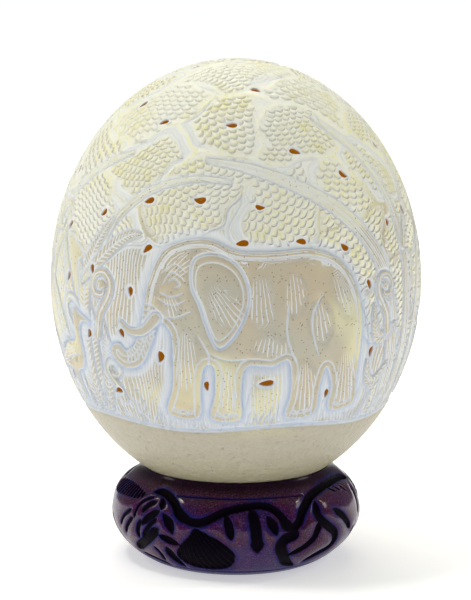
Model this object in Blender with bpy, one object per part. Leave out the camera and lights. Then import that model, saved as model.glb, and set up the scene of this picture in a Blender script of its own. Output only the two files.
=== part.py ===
# A carved and pierced ostrich egg, standing in a carved wooden ring.
# Metres, +Z up. The origin is on the table, under the middle of the ring.
# The side with the elephant faces -Y. Longitudes run from there towards +X,
# and latitudes are seen from the middle of the egg.

import math

import bpy
from mathutils import Vector

# the egg
GIRTH_RADIUS = 0.0635
HALF_HEIGHT = 0.0748
FULLER_TOP = -0.0073        # below nought, because the lower half is the fuller one
WALL = 0.0022
SHELL_TURNS = 40
SHELL_BANDS = 20
LINING_TURNS = 28
LINING_BANDS = 14

# the carving on the egg
SHEET_RADIUS = 0.067        # the ball on which the figures are drawn
GROOVE = 0.0007             # half its width, and its depth
GROUND_LATITUDE = -38.1
GROUND_RISE = 0.9
GROUND_WAVES = 5
GROUND_POINTS = 30
HOLE_CORNERS = 6
HOLE_BEND = 0.45            # millimetres
HOLE_SWELL = 0.35           # one end of a hole is this much fatter than the other

# the ring
SEAT_GAP = 0.0003
RIM_RADIUS = 0.0325
RIM_HEIGHT = 0.0328
BULGE_RADIUS = 0.0431
BULGE_HEIGHT = 0.0166
FOOT_RADIUS = 0.0290
SHOULDER_PULL = (0.0339, 0.0289, 0.0283)   # radius and height by the rim, height by the bulge
BELLY_PULL = (0.0091, 0.0358, 0.0028)      # height by the bulge, radius and height by the foot
SHOULDER_STEPS = 4
BELLY_STEPS = 4
DISH_STEPS = 3
CENTRE_HOLE_RADIUS = 0.020
RING_TURNS = 40
GOUGE = 0.0012
RING_REPEATS = 2


def outline(angle, offset=0.0):
    """Radius and height of the egg's side at an ellipse angle, moved out by offset."""
    radius = (GIRTH_RADIUS + offset) * math.cos(angle) * (1 + FULLER_TOP * math.sin(angle))
    return radius, (HALF_HEIGHT + offset) * math.sin(angle)


def outline_angle(latitude):
    """The ellipse angle of the egg's side at a latitude seen from its middle."""
    angle = latitude
    for _ in range(5):
        girth = GIRTH_RADIUS * (1 + FULLER_TOP * math.sin(angle))
        angle = math.atan2(girth * math.sin(latitude), HALF_HEIGHT * math.cos(latitude))
    return angle


def angle_at_radius(radius, offset):
    """The ellipse angle where the egg's underside, moved out by offset, has a radius."""
    low, high = -math.pi / 2, 0.0
    for _ in range(40):
        middle = (low + high) / 2
        if outline(middle, offset)[0] < radius:
            low = middle
        else:
            high = middle
    return low


SEAT_ANGLE = angle_at_radius(RIM_RADIUS, SEAT_GAP)
EGG_HEIGHT = RIM_HEIGHT - outline(SEAT_ANGLE, SEAT_GAP)[1]


def direction(longitude, latitude):
    turn, lift = math.radians(longitude), math.radians(latitude)
    return Vector((math.sin(turn) * math.cos(lift), -math.cos(turn) * math.cos(lift), math.sin(lift)))


def on_shell(way, offset=0.0):
    """The point of the egg's outside in a direction from its middle."""
    radius, height = outline(outline_angle(math.asin(max(-1.0, min(1.0, way.z)))))
    return way * (math.hypot(radius, height) + offset) + Vector((0, 0, EGG_HEIGHT))


def drawn(spot, point, scale=1.0, flip=False):
    """The direction of a point in millimetres, drawn on the egg around a spot."""
    x, y = point[0] * scale * (-1 if flip else 1) / 1000, point[1] * scale / 1000
    middle = direction(*spot)
    east = Vector((0, 0, 1)).cross(middle).normalized()
    north = middle.cross(east)
    reach = max(math.hypot(x, y), 1e-9)
    angle = reach / SHEET_RADIUS
    return middle * math.cos(angle) + (east * x + north * y) * (math.sin(angle) / reach)


def material(name, colour, roughness):
    made = bpy.data.materials.new(name)
    made.use_nodes = True
    shader = made.node_tree.nodes["Principled BSDF"]
    shader.inputs["Base Color"].default_value = (*colour, 1)
    shader.inputs["Roughness"].default_value = roughness
    shader.inputs["Metallic"].default_value = 0
    return made


def add_object(name, parts, finish=None):
    """One object from several lists of vertices and faces."""
    vertices, faces = [], []
    for more, more_faces in parts:
        faces += [tuple(i + len(vertices) for i in face) for face in more_faces]
        vertices += more
    mesh = bpy.data.meshes.new(name)
    mesh.from_pydata([tuple(v) for v in vertices], [], faces)
    mesh.update()
    made = bpy.data.objects.new(name, mesh)
    bpy.context.collection.objects.link(made)
    if finish:
        mesh.materials.append(finish)
    return made


def cut(piece, name, parts):
    """Takes shapes out of the piece with a hidden cutter."""
    cutter = add_object(name, parts)
    cutter.hide_render = True
    cutter.display_type = "WIRE"
    modifier = piece.modifiers.new(name, "BOOLEAN")
    modifier.operation = "DIFFERENCE"
    modifier.object = cutter
    modifier.use_self = True


def ball(turns, bands, offset, inward=False):
    """An egg-shaped ball: rings of points between two poles."""
    vertices = [Vector((0, 0, EGG_HEIGHT + outline(-math.pi / 2, offset)[1]))]
    for band in range(1, bands):
        radius, height = outline(-math.pi / 2 + math.pi * band / bands, offset)
        for turn in range(turns):
            a = 2 * math.pi * turn / turns
            vertices.append(Vector((radius * math.cos(a), radius * math.sin(a), EGG_HEIGHT + height)))
    vertices.append(Vector((0, 0, EGG_HEIGHT + outline(math.pi / 2, offset)[1])))
    top = len(vertices) - 1
    faces = []
    for turn in range(turns):
        after = (turn + 1) % turns
        faces.append((0, 1 + after, 1 + turn))
        faces.append((top, top - turns + turn, top - turns + after))
        for band in range(bands - 2):
            low, high = 1 + band * turns, 1 + (band + 1) * turns
            faces.append((low + turn, low + after, high + after, high + turn))
    if inward:
        faces = [face[::-1] for face in faces]
    return vertices, faces


def tube(points, radius, closed):
    """A square tube along (point, outward) pairs, with a corner into the work."""
    count = len(points)
    vertices, faces = [], []
    for i, (point, out) in enumerate(points):
        before = points[i - 1][0] if closed or i else point
        after = points[(i + 1) % count][0] if closed or i < count - 1 else point
        side = (after - before).cross(out).normalized()
        vertices += [point + corner * radius for corner in (side, out, -side, -out)]
    for i in range(count if closed else count - 1):
        near, far = 4 * i, 4 * ((i + 1) % count)
        for k in range(4):
            after = (k + 1) % 4
            faces.append((near + k, far + k, far + after, near + after))
    if not closed:
        last = 4 * (count - 1)
        faces += [(0, 1, 2, 3), (last + 3, last + 2, last + 1, last)]
    return vertices, faces


def prism(ring, far_ring):
    """A closed block between two rings of points, the far one on the outside."""
    count = len(ring)
    faces = [tuple(reversed(range(count))), tuple(range(count, 2 * count))]
    for i in range(count):
        after = (i + 1) % count
        faces.append((i, after, count + after, count + i))
    return ring + far_ring, faces


# The figures, in millimetres around their own middle.
ELEPHANT = (
    (-24, 28), (-31, 24), (-35.5, 15), (-37.5, 6), (-39, -4), (-41.5, -11), (-45, -14),
    (-48, -12), (-51, -13.5), (-50.5, -18), (-45, -21), (-38.5, -18), (-34.5, -9), (-32, -1),
    (-27.5, -4), (-26.5, -14), (-26.5, -25), (-28, -36), (-17, -36), (-16.5, -25), (-15.5, -16),
    (-12, -16), (-11.5, -26), (-12.5, -36), (-2.5, -36), (-2.5, -26), (-1, -15.5), (8, -15.5),
    (14, -14), (15, -26), (13.5, -36), (24, -36), (25.5, -26), (28, -18), (30.5, -26), (30, -36),
    (40.5, -36), (41, -25), (42.5, -12), (43, 0), (40, 12), (33, 21), (22, 25), (8, 24.5),
    (-4, 25), (-14, 29),
)
EAR = (
    (-19, 22), (-11, 24), (-3, 19), (0, 9), (-3.5, -2), (-10, -9), (-14, -3), (-17, 6), (-20, 13),
)
GIRAFFE = (
    (17, 36), (19.5, 34.3), (17, 32.5), (12, 33), (9.5, 30), (7.8, 22), (7, 12), (8.5, 3),
    (9, -4), (8.5, -14), (8, -26), (8.8, -42), (4.6, -42), (4.4, -27), (3.6, -13.5),
    (1.8, -14), (0.4, -27), (0, -42), (-4, -42), (-3.6, -26), (-3, -11.5), (-9, -10.5),
    (-12.5, -13), (-11.6, -26), (-12.5, -42), (-16.6, -42), (-16, -28), (-16.8, -16),
    (-19.6, -27), (-20.6, -42), (-24.6, -42), (-23, -27), (-22, -12), (-23, -3), (-20.5, 5),
    (-14, 9), (-7, 12), (-3, 17), (0.5, 25), (3, 33), (6, 38.5), (8.5, 40.5), (12, 38.5),
)
ANTELOPE = (
    (-23.5, 9.6), (-23.2, 7.2), (-18.6, 6.6), (-15.2, 4.5), (-13.6, -2), (-12.6, -12),
    (-12.8, -22), (-9.8, -22), (-9.2, -13), (-7.4, -7.5), (-6, -13), (-7, -22), (-4, -22),
    (-3.2, -12), (-1.5, -6.5), (6, -5.2), (9.6, -8), (9, -15), (9.8, -22), (12.8, -22),
    (12.6, -15), (14.6, -9), (16.2, -15), (16, -22), (19, -22), (19.4, -14), (20, -5), (19, 2),
    (14, 5.4), (6, 5.2), (-2, 5.8), (-7, 8.4), (-10.4, 13), (-12.4, 17), (-16, 15.6), (-20, 12.6),
)
CRANE = (
    (14, 12.6), (8.4, 15), (5, 16.6), (3, 14.6), (3.4, 10), (2.6, 5), (-4, 3), (-10, -1),
    (-17, -6), (-12, -7.4), (-4.6, -7.8), (-4.4, -18), (-2.2, -18), (-2, -8), (3.4, -5.6),
    (6.6, 0), (6.4, 8), (8.4, 12.4),
)

# figure, middle (longitude, latitude), scale, facing the other way
FIGURES = (
    (ELEPHANT, (4, -4), 1.0, False),
    (EAR, (4, -4), 1.0, False),
    (CRANE, (-62, -18.5), 1.0, False),
    (GIRAFFE, (152, 0.5), 0.98, False),
    (ANTELOPE, (96, -17.5), 0.95, True),
    (ANTELOPE, (-116, -17.5), 0.95, False),
)

# The middles of the trees' limbs (longitude, latitude), from the ground up.
LIMBS = (
    ((60, -35), (57, -18), (54, -2), (49, 13), (38, 26), (23, 35), (6, 41), (-12, 44)),
    ((66, -35), (65, -12), (64, 10), (62, 28), (54, 44), (38, 57)),
    ((-82, -35), (-84, -14), (-82, 8), (-74, 26), (-60, 38), (-42, 45)),
    ((178, -35), (179, -12), (180, 10), (184, 30), (196, 46)),
)
LIMB_STEPS = 2

# The pierced holes: middle (longitude, latitude), length, width, tilt.
HOLES = (
    # round the elephant
    (-23.4, -15, 4.2, 2.4, 80), (-9.1, -23.5, 3.6, 1.7, 90), (9.6, -22.6, 5.2, 2.2, 5),
    (30.8, -27.5, 3.4, 1.7, 90), (46.5, -16, 4.0, 2.0, 80), (44, 5, 3.6, 2.0, 105),
    (2, 19.6, 4.4, 2.2, 5), (20.5, 19.6, 3.8, 2.0, -8), (35.5, 17, 3.8, 2.2, -35),
    (-28, 17, 4.0, 2.2, 40), (-33, 4, 3.6, 2.0, 95), (-36.5, -9, 3.4, 2.0, 115),
    (-42, -28, 3.6, 2.0, 15),
    # the leaves, the boughs and the crown in front
    (-51, -11, 3.4, 2.0, 70), (-70, -27, 3.4, 1.8, 90), (-49, 9, 3.6, 2.0, 100),
    (-62, 5, 3.8, 2.0, 70), (-66, 20, 4.0, 2.0, 60), (-48, 26, 3.4, 2.0, 50),
    (-30, 31, 3.8, 2.2, 20), (-36, 55, 3.4, 1.9, 30), (-12, 32, 4.2, 2.4, 0),
    (8, 30, 3.4, 1.8, 170), (-2, 55, 3.8, 2.0, 0), (24, 46, 4.0, 2.2, 160),
    (42, 38, 3.8, 2.2, 140), (14, 68, 3.4, 1.8, 150), (74, 44, 3.6, 2.0, 120),
    (71, 24, 3.8, 2.2, 100), (57, 22, 3.2, 1.8, 70), (80, -6, 3.8, 2.0, 85),
    (79, -26, 3.4, 1.8, 90),
    # the right side
    (92, 12, 3.8, 2.2, 60), (104, 24, 3.6, 2.0, 30), (114, 4, 3.8, 2.0, 60),
    (120, -22, 3.4, 1.8, 90), (100, 50, 3.6, 2.0, 90), (124, 30, 3.6, 2.0, 100),
    # the back
    (134, 14, 3.8, 2.2, 70), (137, -14, 3.8, 2.0, 80), (150, 50, 3.8, 2.0, 20),
    (170, 28, 3.8, 2.0, 80), (168, 2, 3.8, 2.0, 90), (171, -24, 3.6, 1.8, 90),
    (192, 18, 3.8, 2.2, 100), (190, -8, 3.6, 1.8, 90), (212, 10, 3.8, 2.2, 70),
    (218, 36, 3.6, 2.0, 110), (222, -16, 3.8, 1.8, 90), (200, 62, 3.6, 2.0, 0),
    # the left side
    (234, 14, 3.8, 2.2, 70), (240, 48, 3.4, 2.0, 100), (248, 10, 3.8, 2.0, 80),
    (256, 34, 3.6, 2.0, 60), (272, 14, 3.8, 1.8, 80), (282, 36, 3.6, 2.0, 120),
    (272, -24, 3.6, 1.8, 90), (300, 60, 3.4, 1.8, 60),
)


def on_shell_out(way):
    return on_shell(way), way


def smooth(points, steps):
    """More points on a smooth open line through some."""
    ends = [points[0], *points, points[-1]]
    line = []
    for before, here, there, after in zip(ends, ends[1:], ends[2:], ends[3:]):
        for step in range(steps):
            t = step / steps
            line.append(tuple(
                here[k] + t * ((there[k] - before[k]) / 2
                               + t * (before[k] - 2.5 * here[k] + 2 * there[k] - after[k] / 2
                                      + t * (1.5 * (here[k] - there[k]) + (after[k] - before[k]) / 2)))
                for k in (0, 1)))
    return line + [points[-1]]


def shell_grooves():
    """The outlines of the figures, the limbs of the trees and the ground line."""
    parts = []
    for points, spot, scale, flip in FIGURES:
        ways = [drawn(spot, point, scale, flip) for point in points]
        parts.append(tube([on_shell_out(way) for way in ways], GROOVE, True))
    for limb in LIMBS:
        ways = [direction(*point) for point in smooth(limb, LIMB_STEPS)]
        parts.append(tube([on_shell_out(way) for way in ways], GROOVE, False))
    ground = []
    for i in range(GROUND_POINTS):
        longitude = 360 * i / GROUND_POINTS
        rise = GROUND_RISE * math.sin(math.radians(GROUND_WAVES * longitude))
        ground.append(on_shell_out(direction(longitude, GROUND_LATITUDE + rise)))
    parts.append(tube(ground, GROOVE, True))
    return parts


def shell_holes():
    """Bent, drop-shaped blocks through the wall."""
    parts = []
    for number, (longitude, latitude, length, width, tilt) in enumerate(HOLES):
        turn = math.radians(tilt)
        bend = HOLE_BEND * math.cos(2.4 * number)
        ways = []
        for i in range(HOLE_CORNERS):
            a = 2 * math.pi * i / HOLE_CORNERS
            x = length / 2 * math.cos(a)
            y = width / 2 * math.sin(a) * (1 + HOLE_SWELL * math.cos(a)) + bend * math.cos(2 * a) / 2
            across = x * math.cos(turn) - y * math.sin(turn)
            up = x * math.sin(turn) + y * math.cos(turn)
            ways.append(drawn((longitude, latitude), (across, up)))
        parts.append(prism([on_shell(way, -2 * WALL) for way in ways], [on_shell(way, WALL) for way in ways]))
    return parts


def make_egg():
    shell = material("eggshell", (0.78, 0.72, 0.56), 0.6)
    outside = ball(SHELL_TURNS, SHELL_BANDS, 0.0)
    lining = ball(LINING_TURNS, LINING_BANDS, -WALL, inward=True)
    egg = add_object("egg_shell", [outside, lining], shell)
    cut(egg, "shell_hole_cutter", shell_holes())
    cut(egg, "shell_groove_cutter", shell_grooves())
    return egg


def pulled(ends, steps):
    """Points along a curve with two end points and two pulling points."""
    points = []
    for i in range(steps + 1):
        t = i / steps
        shares = ((1 - t) ** 3, 3 * t * (1 - t) ** 2, 3 * t * t * (1 - t), t ** 3)
        points.append(tuple(sum(s * p[k] for s, p in zip(shares, ends)) for k in (0, 1)))
    return points


def ring_side(steps=(SHOULDER_STEPS, BELLY_STEPS)):
    """The ring's outer side, as (radius, height) from the rim down to the foot."""
    near_rim, near_rim_height, over_bulge = SHOULDER_PULL
    under_bulge, near_foot, near_foot_height = BELLY_PULL
    shoulder = pulled((
        (RIM_RADIUS, RIM_HEIGHT), (near_rim, near_rim_height), (BULGE_RADIUS, over_bulge),
        (BULGE_RADIUS, BULGE_HEIGHT)), steps[0])
    belly = pulled((
        (BULGE_RADIUS, BULGE_HEIGHT), (BULGE_RADIUS, under_bulge), (near_foot, near_foot_height),
        (FOOT_RADIUS, 0.0)), steps[1])
    return shoulder + belly[1:]


def turned(profile, turns):
    """A closed profile turned about the Z axis, each point with its own radius."""
    vertices = []
    for turn in range(turns):
        a = 2 * math.pi * turn / turns
        vertices += [Vector((r * math.cos(a), r * math.sin(a), z)) for r, z in profile]
    count = len(profile)
    faces = []
    for turn in range(turns):
        here, there = turn * count, (turn + 1) % turns * count
        for k in range(count):
            after = (k + 1) % count
            faces.append((here + k, here + after, there + after, there + k))
    return vertices, faces


# The gouges in half of the ring: (degrees round, share of the way down the side).
GOUGES = (
    # the vine
    ((-47, 0.154), (-36, 0.171), (-28, 0.29), (-19, 0.362), (-6, 0.266), (9, 0.21), (19, 0.266), (27, 0.412),
     (33, 0.30), (42, 0.174), (60, 0.114), (76, 0.13)),
    # the drops that hang from it
    ((-4, 0.32), (-2, 0.47)),
    ((8, 0.27), (10, 0.585)),
    ((16, 0.32), (18, 0.44)),
    # the bent leaves on the right
    ((25, 0.47), (21, 0.56), (27, 0.77), (34, 0.85)),
    ((42, 0.256), (43, 0.395), (53, 0.57), (41, 0.79)),
    ((42, 0.44), (38, 0.54), (28, 0.656)),
    ((53, 0.347), (62, 0.469), (67, 0.54)),
    ((74, 0.60), (69, 0.80)),
    ((80, 0.24), (79, 0.46)),
    # the fern on the left
    ((-53, 0.395), (-49, 0.25), (-45, 0.21)),
    ((-47, 0.43), (-39, 0.315)),
    ((-48, 0.546), (-40, 0.39)),
    ((-58, 0.712), (-45, 0.562), (-39, 0.457)),
    ((-35, 0.34), (-30, 0.45)),
    ((-34, 0.515), (-29, 0.549)),
    ((-62, 0.557), (-55, 0.423)),
    ((-81, 0.495), (-71, 0.666)),
    ((-54, 0.783), (-44, 0.861)),
)
# The outline of the big leaf, and what it is cut with.
LEAF = (
    (-19, 0.40), (-7, 0.492), (-1, 0.60), (-1, 0.742), (-5, 0.84), (-14, 0.88), (-23, 0.85), (-29, 0.70),
    (-27, 0.57),
)
LEAF_GOUGE = GOUGE / 2


def on_ring(degrees, share):
    """A point of the ring's outer side, and the way out there."""
    side = ring_side((24, 24))
    lengths = [math.dist(a, b) for a, b in zip(side, side[1:])]
    place = share * sum(lengths)
    i = 0
    while i < len(lengths) - 1 and place > lengths[i]:
        place -= lengths[i]
        i += 1
    (r0, z0), (r1, z1) = side[i], side[i + 1]
    part = place / lengths[i]
    radius, height = r0 + (r1 - r0) * part, z0 + (z1 - z0) * part
    turn = math.radians(degrees)
    across = Vector((math.sin(turn), -math.cos(turn), 0))
    down = across * (r1 - r0) + Vector((0, 0, z1 - z0))
    out = Vector((-math.cos(turn), -math.sin(turn), 0)).cross(down).normalized()
    return across * radius + Vector((0, 0, height)), out


def ring_gouges():
    parts = []
    for repeat in range(RING_REPEATS):
        start = 360 * repeat / RING_REPEATS
        for gouge in GOUGES:
            parts.append(tube([on_ring(start + a, s) for a, s in gouge], GOUGE, False))
        parts.append(tube([on_ring(start + a, s) for a, s in LEAF], LEAF_GOUGE, True))
    return parts


def make_ring():
    wood = material("dark_wood", (0.05, 0.02, 0.035), 0.35)
    profile = ring_side()
    hole_angle = angle_at_radius(CENTRE_HOLE_RADIUS, SEAT_GAP)
    hole_top = outline(hole_angle, SEAT_GAP)[1] + EGG_HEIGHT
    profile += [(CENTRE_HOLE_RADIUS, 0.0), (CENTRE_HOLE_RADIUS, hole_top)]
    for i in range(1, DISH_STEPS):
        angle = hole_angle + (SEAT_ANGLE - hole_angle) * i / DISH_STEPS
        radius, height = outline(angle, SEAT_GAP)
        profile.append((radius, EGG_HEIGHT + height))
    ring = add_object("ring_stand", [turned(profile, RING_TURNS)], wood)
    cut(ring, "ring_gouge_cutter", ring_gouges())
    return ring


def main():
    for old in list(bpy.data.objects):
        bpy.data.objects.remove(old)
    holder = bpy.data.objects.new("carved_egg", None)
    bpy.context.collection.objects.link(holder)
    for piece in (make_egg(), make_ring()):
        piece.parent = holder


main()
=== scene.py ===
# A carved and pierced ostrich egg, standing in a carved wooden ring. Metres, +Z up.
# The carving is drawn in millimetres on a ball about as big as the egg. It is kept in
# one sheet of depths that wraps round the egg, and is then cut into a fine mesh.
import math

import bpy
import numpy as np
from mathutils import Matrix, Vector


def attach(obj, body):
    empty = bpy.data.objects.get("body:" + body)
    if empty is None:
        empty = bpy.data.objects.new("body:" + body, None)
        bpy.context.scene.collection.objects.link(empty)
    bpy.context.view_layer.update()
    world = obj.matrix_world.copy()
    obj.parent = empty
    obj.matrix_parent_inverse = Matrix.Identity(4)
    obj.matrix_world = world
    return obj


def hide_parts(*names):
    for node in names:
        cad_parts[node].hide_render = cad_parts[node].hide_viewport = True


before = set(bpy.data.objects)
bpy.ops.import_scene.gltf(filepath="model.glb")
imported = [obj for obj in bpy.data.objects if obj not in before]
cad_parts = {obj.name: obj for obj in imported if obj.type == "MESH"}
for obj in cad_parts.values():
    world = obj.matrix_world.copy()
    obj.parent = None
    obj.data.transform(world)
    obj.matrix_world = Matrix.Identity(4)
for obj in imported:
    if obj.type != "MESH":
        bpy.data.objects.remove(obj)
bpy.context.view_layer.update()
millimetre = 0.001

view = {
    "distance": 1.0,
    "elevation": 10.5,
    "aim": (-0.0001, 0.0, 0.0894),
    "sensorHeight": 24.0,
    "lens": 116.6,
}


def makeCamera():
    lift = math.radians(view["elevation"])
    aim = Vector(view["aim"])
    spot = aim + Vector((0, -math.cos(lift), math.sin(lift))) * view["distance"]
    bpy.ops.object.camera_add(location=spot, rotation=(aim - spot).to_track_quat("-Z", "Y").to_euler())
    camera = bpy.context.object
    camera.data.sensor_fit = "VERTICAL"
    camera.data.sensor_height = view["sensorHeight"]
    camera.data.lens = view["lens"]
    camera.data.clip_start = 0.01
    bpy.context.scene.camera = camera


bpy.ops.object.select_all(action="DESELECT")
makeCamera()
print("camera placed")

# the plain shapes, in millimetres
egg = {
    "girthRadius": 63.5,
    "halfHeight": 74.8,
    "fullerTop": -0.0073,    # below nought, because the lower half is the fuller one
    "wall": 2.2,
    "inset": 0.02,           # the carved skin stays this far inside the plain egg
    "ballSteps": 9,
    "liningSteps": 5,
    "keptTriangles": 194000,
    "holeCorners": 20,
    "sharpAngle": 62,
}
ring = {
    "seatGap": 0.3,
    "rimRadius": 32.5,
    "rimHeight": 32.8,
    "bulgeRadius": 43.1,
    "bulgeHeight": 16.6,
    "footRadius": 29.0,
    "shoulderPull": (33.9, 28.9, 28.3),    # radius and height by the rim, height by the bulge
    "bellyPull": (9.1, 35.8, 2.8),         # height by the bulge, radius and height by the foot
    "centreHoleRadius": 20.0,
    "underside": (26, 23, 21),
    "holeEdge": 0.6,
    "inset": 0.02,
    "turns": 720,
    "sidePoints": 112,
    "dishPoints": 10,
    "sharpAngle": 50,
}


def eggSide(angle, offset=0.0):    # radius and height at an ellipse angle
    radius = (egg["girthRadius"] + offset) * np.cos(angle) * (1 + egg["fullerTop"] * np.sin(angle))
    return radius, (egg["halfHeight"] + offset) * np.sin(angle)


def eggReach(latitude):            # from the middle of the egg to its skin
    angle = latitude
    for _ in range(6):
        girth = egg["girthRadius"] * (1 + egg["fullerTop"] * np.sin(angle))
        angle = np.arctan2(girth * np.sin(latitude), egg["halfHeight"] * np.cos(latitude))
    return np.hypot(*eggSide(angle))


def undersideAngle(radius):        # where the egg's underside and the seat gap reach a radius
    low, high = -math.pi / 2, 0.0
    for _ in range(40):
        middle = (low + high) / 2
        if eggSide(middle, ring["seatGap"])[0] < radius:
            low = middle
        else:
            high = middle
    return low


seatAngle = undersideAngle(ring["rimRadius"])
eggHeight = ring["rimHeight"] - eggSide(seatAngle, ring["seatGap"])[1]

sheet = {
    "rows": 1500,
    "ballRadius": 67.0,
    "deepest": -1.15,
}
rows, columns = sheet["rows"], 2 * sheet["rows"]
rowLatitude = (np.arange(rows) + 0.5) / rows * math.pi - math.pi / 2
columnLongitude = (np.arange(columns) + 0.5) / columns * 2 * math.pi - math.pi
depth = np.zeros((rows, columns), np.float32)          # millimetres, negative where shell is cut away
strokeTurns = np.zeros((rows, columns), np.float32)    # counts fine strokes across a patch
strokeShare = np.zeros((rows, columns), np.float32)
scoopAcross = np.zeros((rows, columns), np.float32)    # counts the scoops of the leaves, across and up
scoopUp = np.zeros((rows, columns), np.float32)
scoopShare = np.zeros((rows, columns), np.float32)


def wayTo(longitude, latitude):
    turn, lift = np.radians(longitude), np.radians(latitude)
    return np.stack([np.sin(turn) * np.cos(lift), -np.cos(turn) * np.cos(lift), np.sin(lift)], -1)


def frameAt(middle):               # east and north
    east = np.cross((0, 0, 1), middle)
    east = east / max(np.linalg.norm(east), 1e-9)
    return east, np.cross(middle, east)


def unroll(ways, middle):          # millimetres east and north of a middle
    east, north = frameAt(middle)
    angle = np.arccos(np.clip(ways @ middle, -1, 1))
    reach = sheet["ballRadius"] * angle / np.maximum(np.sin(angle), 1e-6)
    return np.stack([reach * (ways @ east), reach * (ways @ north)], -1)


def rollOn(points, spot, scale=1.0, flip=False):    # the ways to points drawn around a spot
    middle = wayTo(*spot)
    east, north = frameAt(middle)
    points = np.asarray(points, float) * (scale * (-1 if flip else 1), scale)
    reach = np.maximum(np.hypot(points[:, 0], points[:, 1]), 1e-9)[:, None]
    angle = reach / sheet["ballRadius"]
    out = (points[:, :1] * east + points[:, 1:] * north) / reach
    return middle * np.cos(angle) + out * np.sin(angle)


def smoothLine(points, steps, closed=False):
    points = np.asarray(points, float)
    if closed:
        before, here = np.roll(points, 1, 0), points
        after, last = np.roll(points, -1, 0), np.roll(points, -2, 0)
    else:
        ends = np.vstack([points[:1], points, points[-1:]])
        before, here, after, last = ends[:-3], ends[1:-2], ends[2:-1], ends[3:]
    t = (np.arange(steps) / steps)[None, :, None]
    a, b, c, d = (p[:, None, :] for p in (before, here, after, last))
    line = b + t / 2 * (c - a + t * (2 * a - 5 * b + 4 * c - d + t * (3 * (b - c) + d - a)))
    line = line.reshape(-1, points.shape[1])
    return line if closed else np.vstack([line, points[-1:]])


def patchAt(middle, reach):        # a piece of the sheet, and its millimetres east and north
    latitude = math.asin(max(-1, min(1, middle[2])))
    angle = reach / sheet["ballRadius"]
    low = max(0, int((latitude - angle + math.pi / 2) / math.pi * rows))
    high = min(rows, int((latitude + angle + math.pi / 2) / math.pi * rows) + 2)
    across = np.arange(columns)
    if abs(latitude) + angle < math.radians(88):
        half = math.asin(min(1, math.sin(angle) / math.cos(latitude)))
        longitude = math.atan2(middle[0], -middle[1])
        first = int((longitude - half + math.pi) / (2 * math.pi) * columns)
        across = np.arange(first, first + min(columns, int(half / math.pi * columns) + 3)) % columns
    lat, lon = rowLatitude[low:high, None], columnLongitude[None, across]
    ways = np.stack([np.cos(lat) * np.sin(lon), -np.cos(lat) * np.cos(lon), np.sin(lat) + 0 * lon], -1)
    spots = unroll(ways, middle)
    return np.ix_(np.arange(low, high), across), spots[..., 0], spots[..., 1]


def nearLine(x, y, line, limit, closed=False):    # how far away, on which side, how far along
    away = np.full(x.shape, limit, np.float32)
    side = np.zeros(x.shape, np.float32)
    along = np.zeros(x.shape, np.float32)
    pieces = len(line) if closed else len(line) - 1
    for i in range(pieces):
        (ax, ay), (bx, by) = line[i], line[(i + 1) % len(line)]
        near = ((x > min(ax, bx) - limit) & (x < max(ax, bx) + limit)
                & (y > min(ay, by) - limit) & (y < max(ay, by) + limit))
        spots = np.nonzero(near)
        if not len(spots[0]):
            continue
        px, py, ex, ey = x[spots] - ax, y[spots] - ay, bx - ax, by - ay
        t = np.clip((px * ex + py * ey) / (ex * ex + ey * ey + 1e-12), 0, 1)
        reach = np.hypot(px - t * ex, py - t * ey)
        better = reach < away[spots]
        chosen = tuple(s[better] for s in spots)
        away[chosen] = reach[better]
        side[chosen] = np.sign(ex * py - ey * px)[better]
        along[chosen] = ((i + t) / pieces)[better]
    return away, side, along


def isInside(x, y, line):
    inside = np.zeros(x.shape, bool)
    for (ax, ay), (bx, by) in zip(line, np.roll(line, -1, 0)):
        if ay != by:
            inside ^= ((ay > y) != (by > y)) & (x < ax + (bx - ax) * (y - ay) / (by - ay))
    return inside


def easeIn(value, low, high):
    t = np.clip((value - low) / (high - low), 0, 1)
    return t * t * (3 - 2 * t)


def middleOf(ways):
    middle = ways.mean(0)
    return middle / np.linalg.norm(middle)


def blend(where, top, share):
    depth[where] = depth[where] * (1 - share) + top * share


def quieten(where, share):         # fewer fine strokes and scoops in a patch
    strokeShare[where] = strokeShare[where] * share
    scoopShare[where] = scoopShare[where] * share


def gouge(ways, width, deep, taper=0.35, closed=False):    # a groove that thins out at its ends
    middle = middleOf(ways)
    line = unroll(ways, middle)
    where, x, y = patchAt(middle, np.hypot(*line.T).max() + width)
    away, _, along = nearLine(x, y, line, width, closed)
    thick = width / 2
    if taper and not closed:
        thick = thick * np.sqrt(np.clip(np.minimum(along, 1 - along) / taper, 0.04, 1))
    share = np.clip(1 - (away / thick) ** 1.5, 0, 1)
    cut = -deep * share * np.minimum(1, thick / (width / 2) + 0.2)
    here = depth[where]
    depth[where] = np.minimum(here * (1 - 0.65 * share), here * 0.35 + cut)


def ribbon(ways, halfWidth, surface, lines=None, share=0.8, beside=0.8, spread=0.9, edge=0.16):
    # a raised strip, with the fine lines that the finish draws on it
    middle = middleOf(ways)
    line = unroll(ways, middle)
    length = np.hypot(*np.diff(line, axis=0).T).sum()
    limit = halfWidth(np.linspace(0, 1, 33)).max() + 2.2 * spread
    where, x, y = patchAt(middle, np.hypot(*line.T).max() + limit)
    away, side, along = nearLine(x, y, line, limit)
    half = np.maximum(halfWidth(along), 0.02)
    out = away - half
    near = (away < limit) * easeIn(half, 0.05, 0.4)
    cut = -beside * np.exp(-(np.maximum(out, 0) / spread) ** 2) * near
    depth[where] = np.minimum(depth[where], cut)
    top = surface(np.clip(away / half, 0, 1.2) * side, along * length)
    blend(where, top, easeIn(-out, -edge, edge) * near)
    onTop = easeIn(-out, 0.05, 0.35) * near
    if lines:
        turns = lines(np.clip(away / half, 0, 1.2) * side, along * length)
        strokeTurns[where] = np.where(out < 0, turns, strokeTurns[where])
    quieten(where, easeIn(out, 0, spread * 1.5))
    if lines:
        strokeShare[where] = np.where(out < 0, share * onTop, strokeShare[where])


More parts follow.
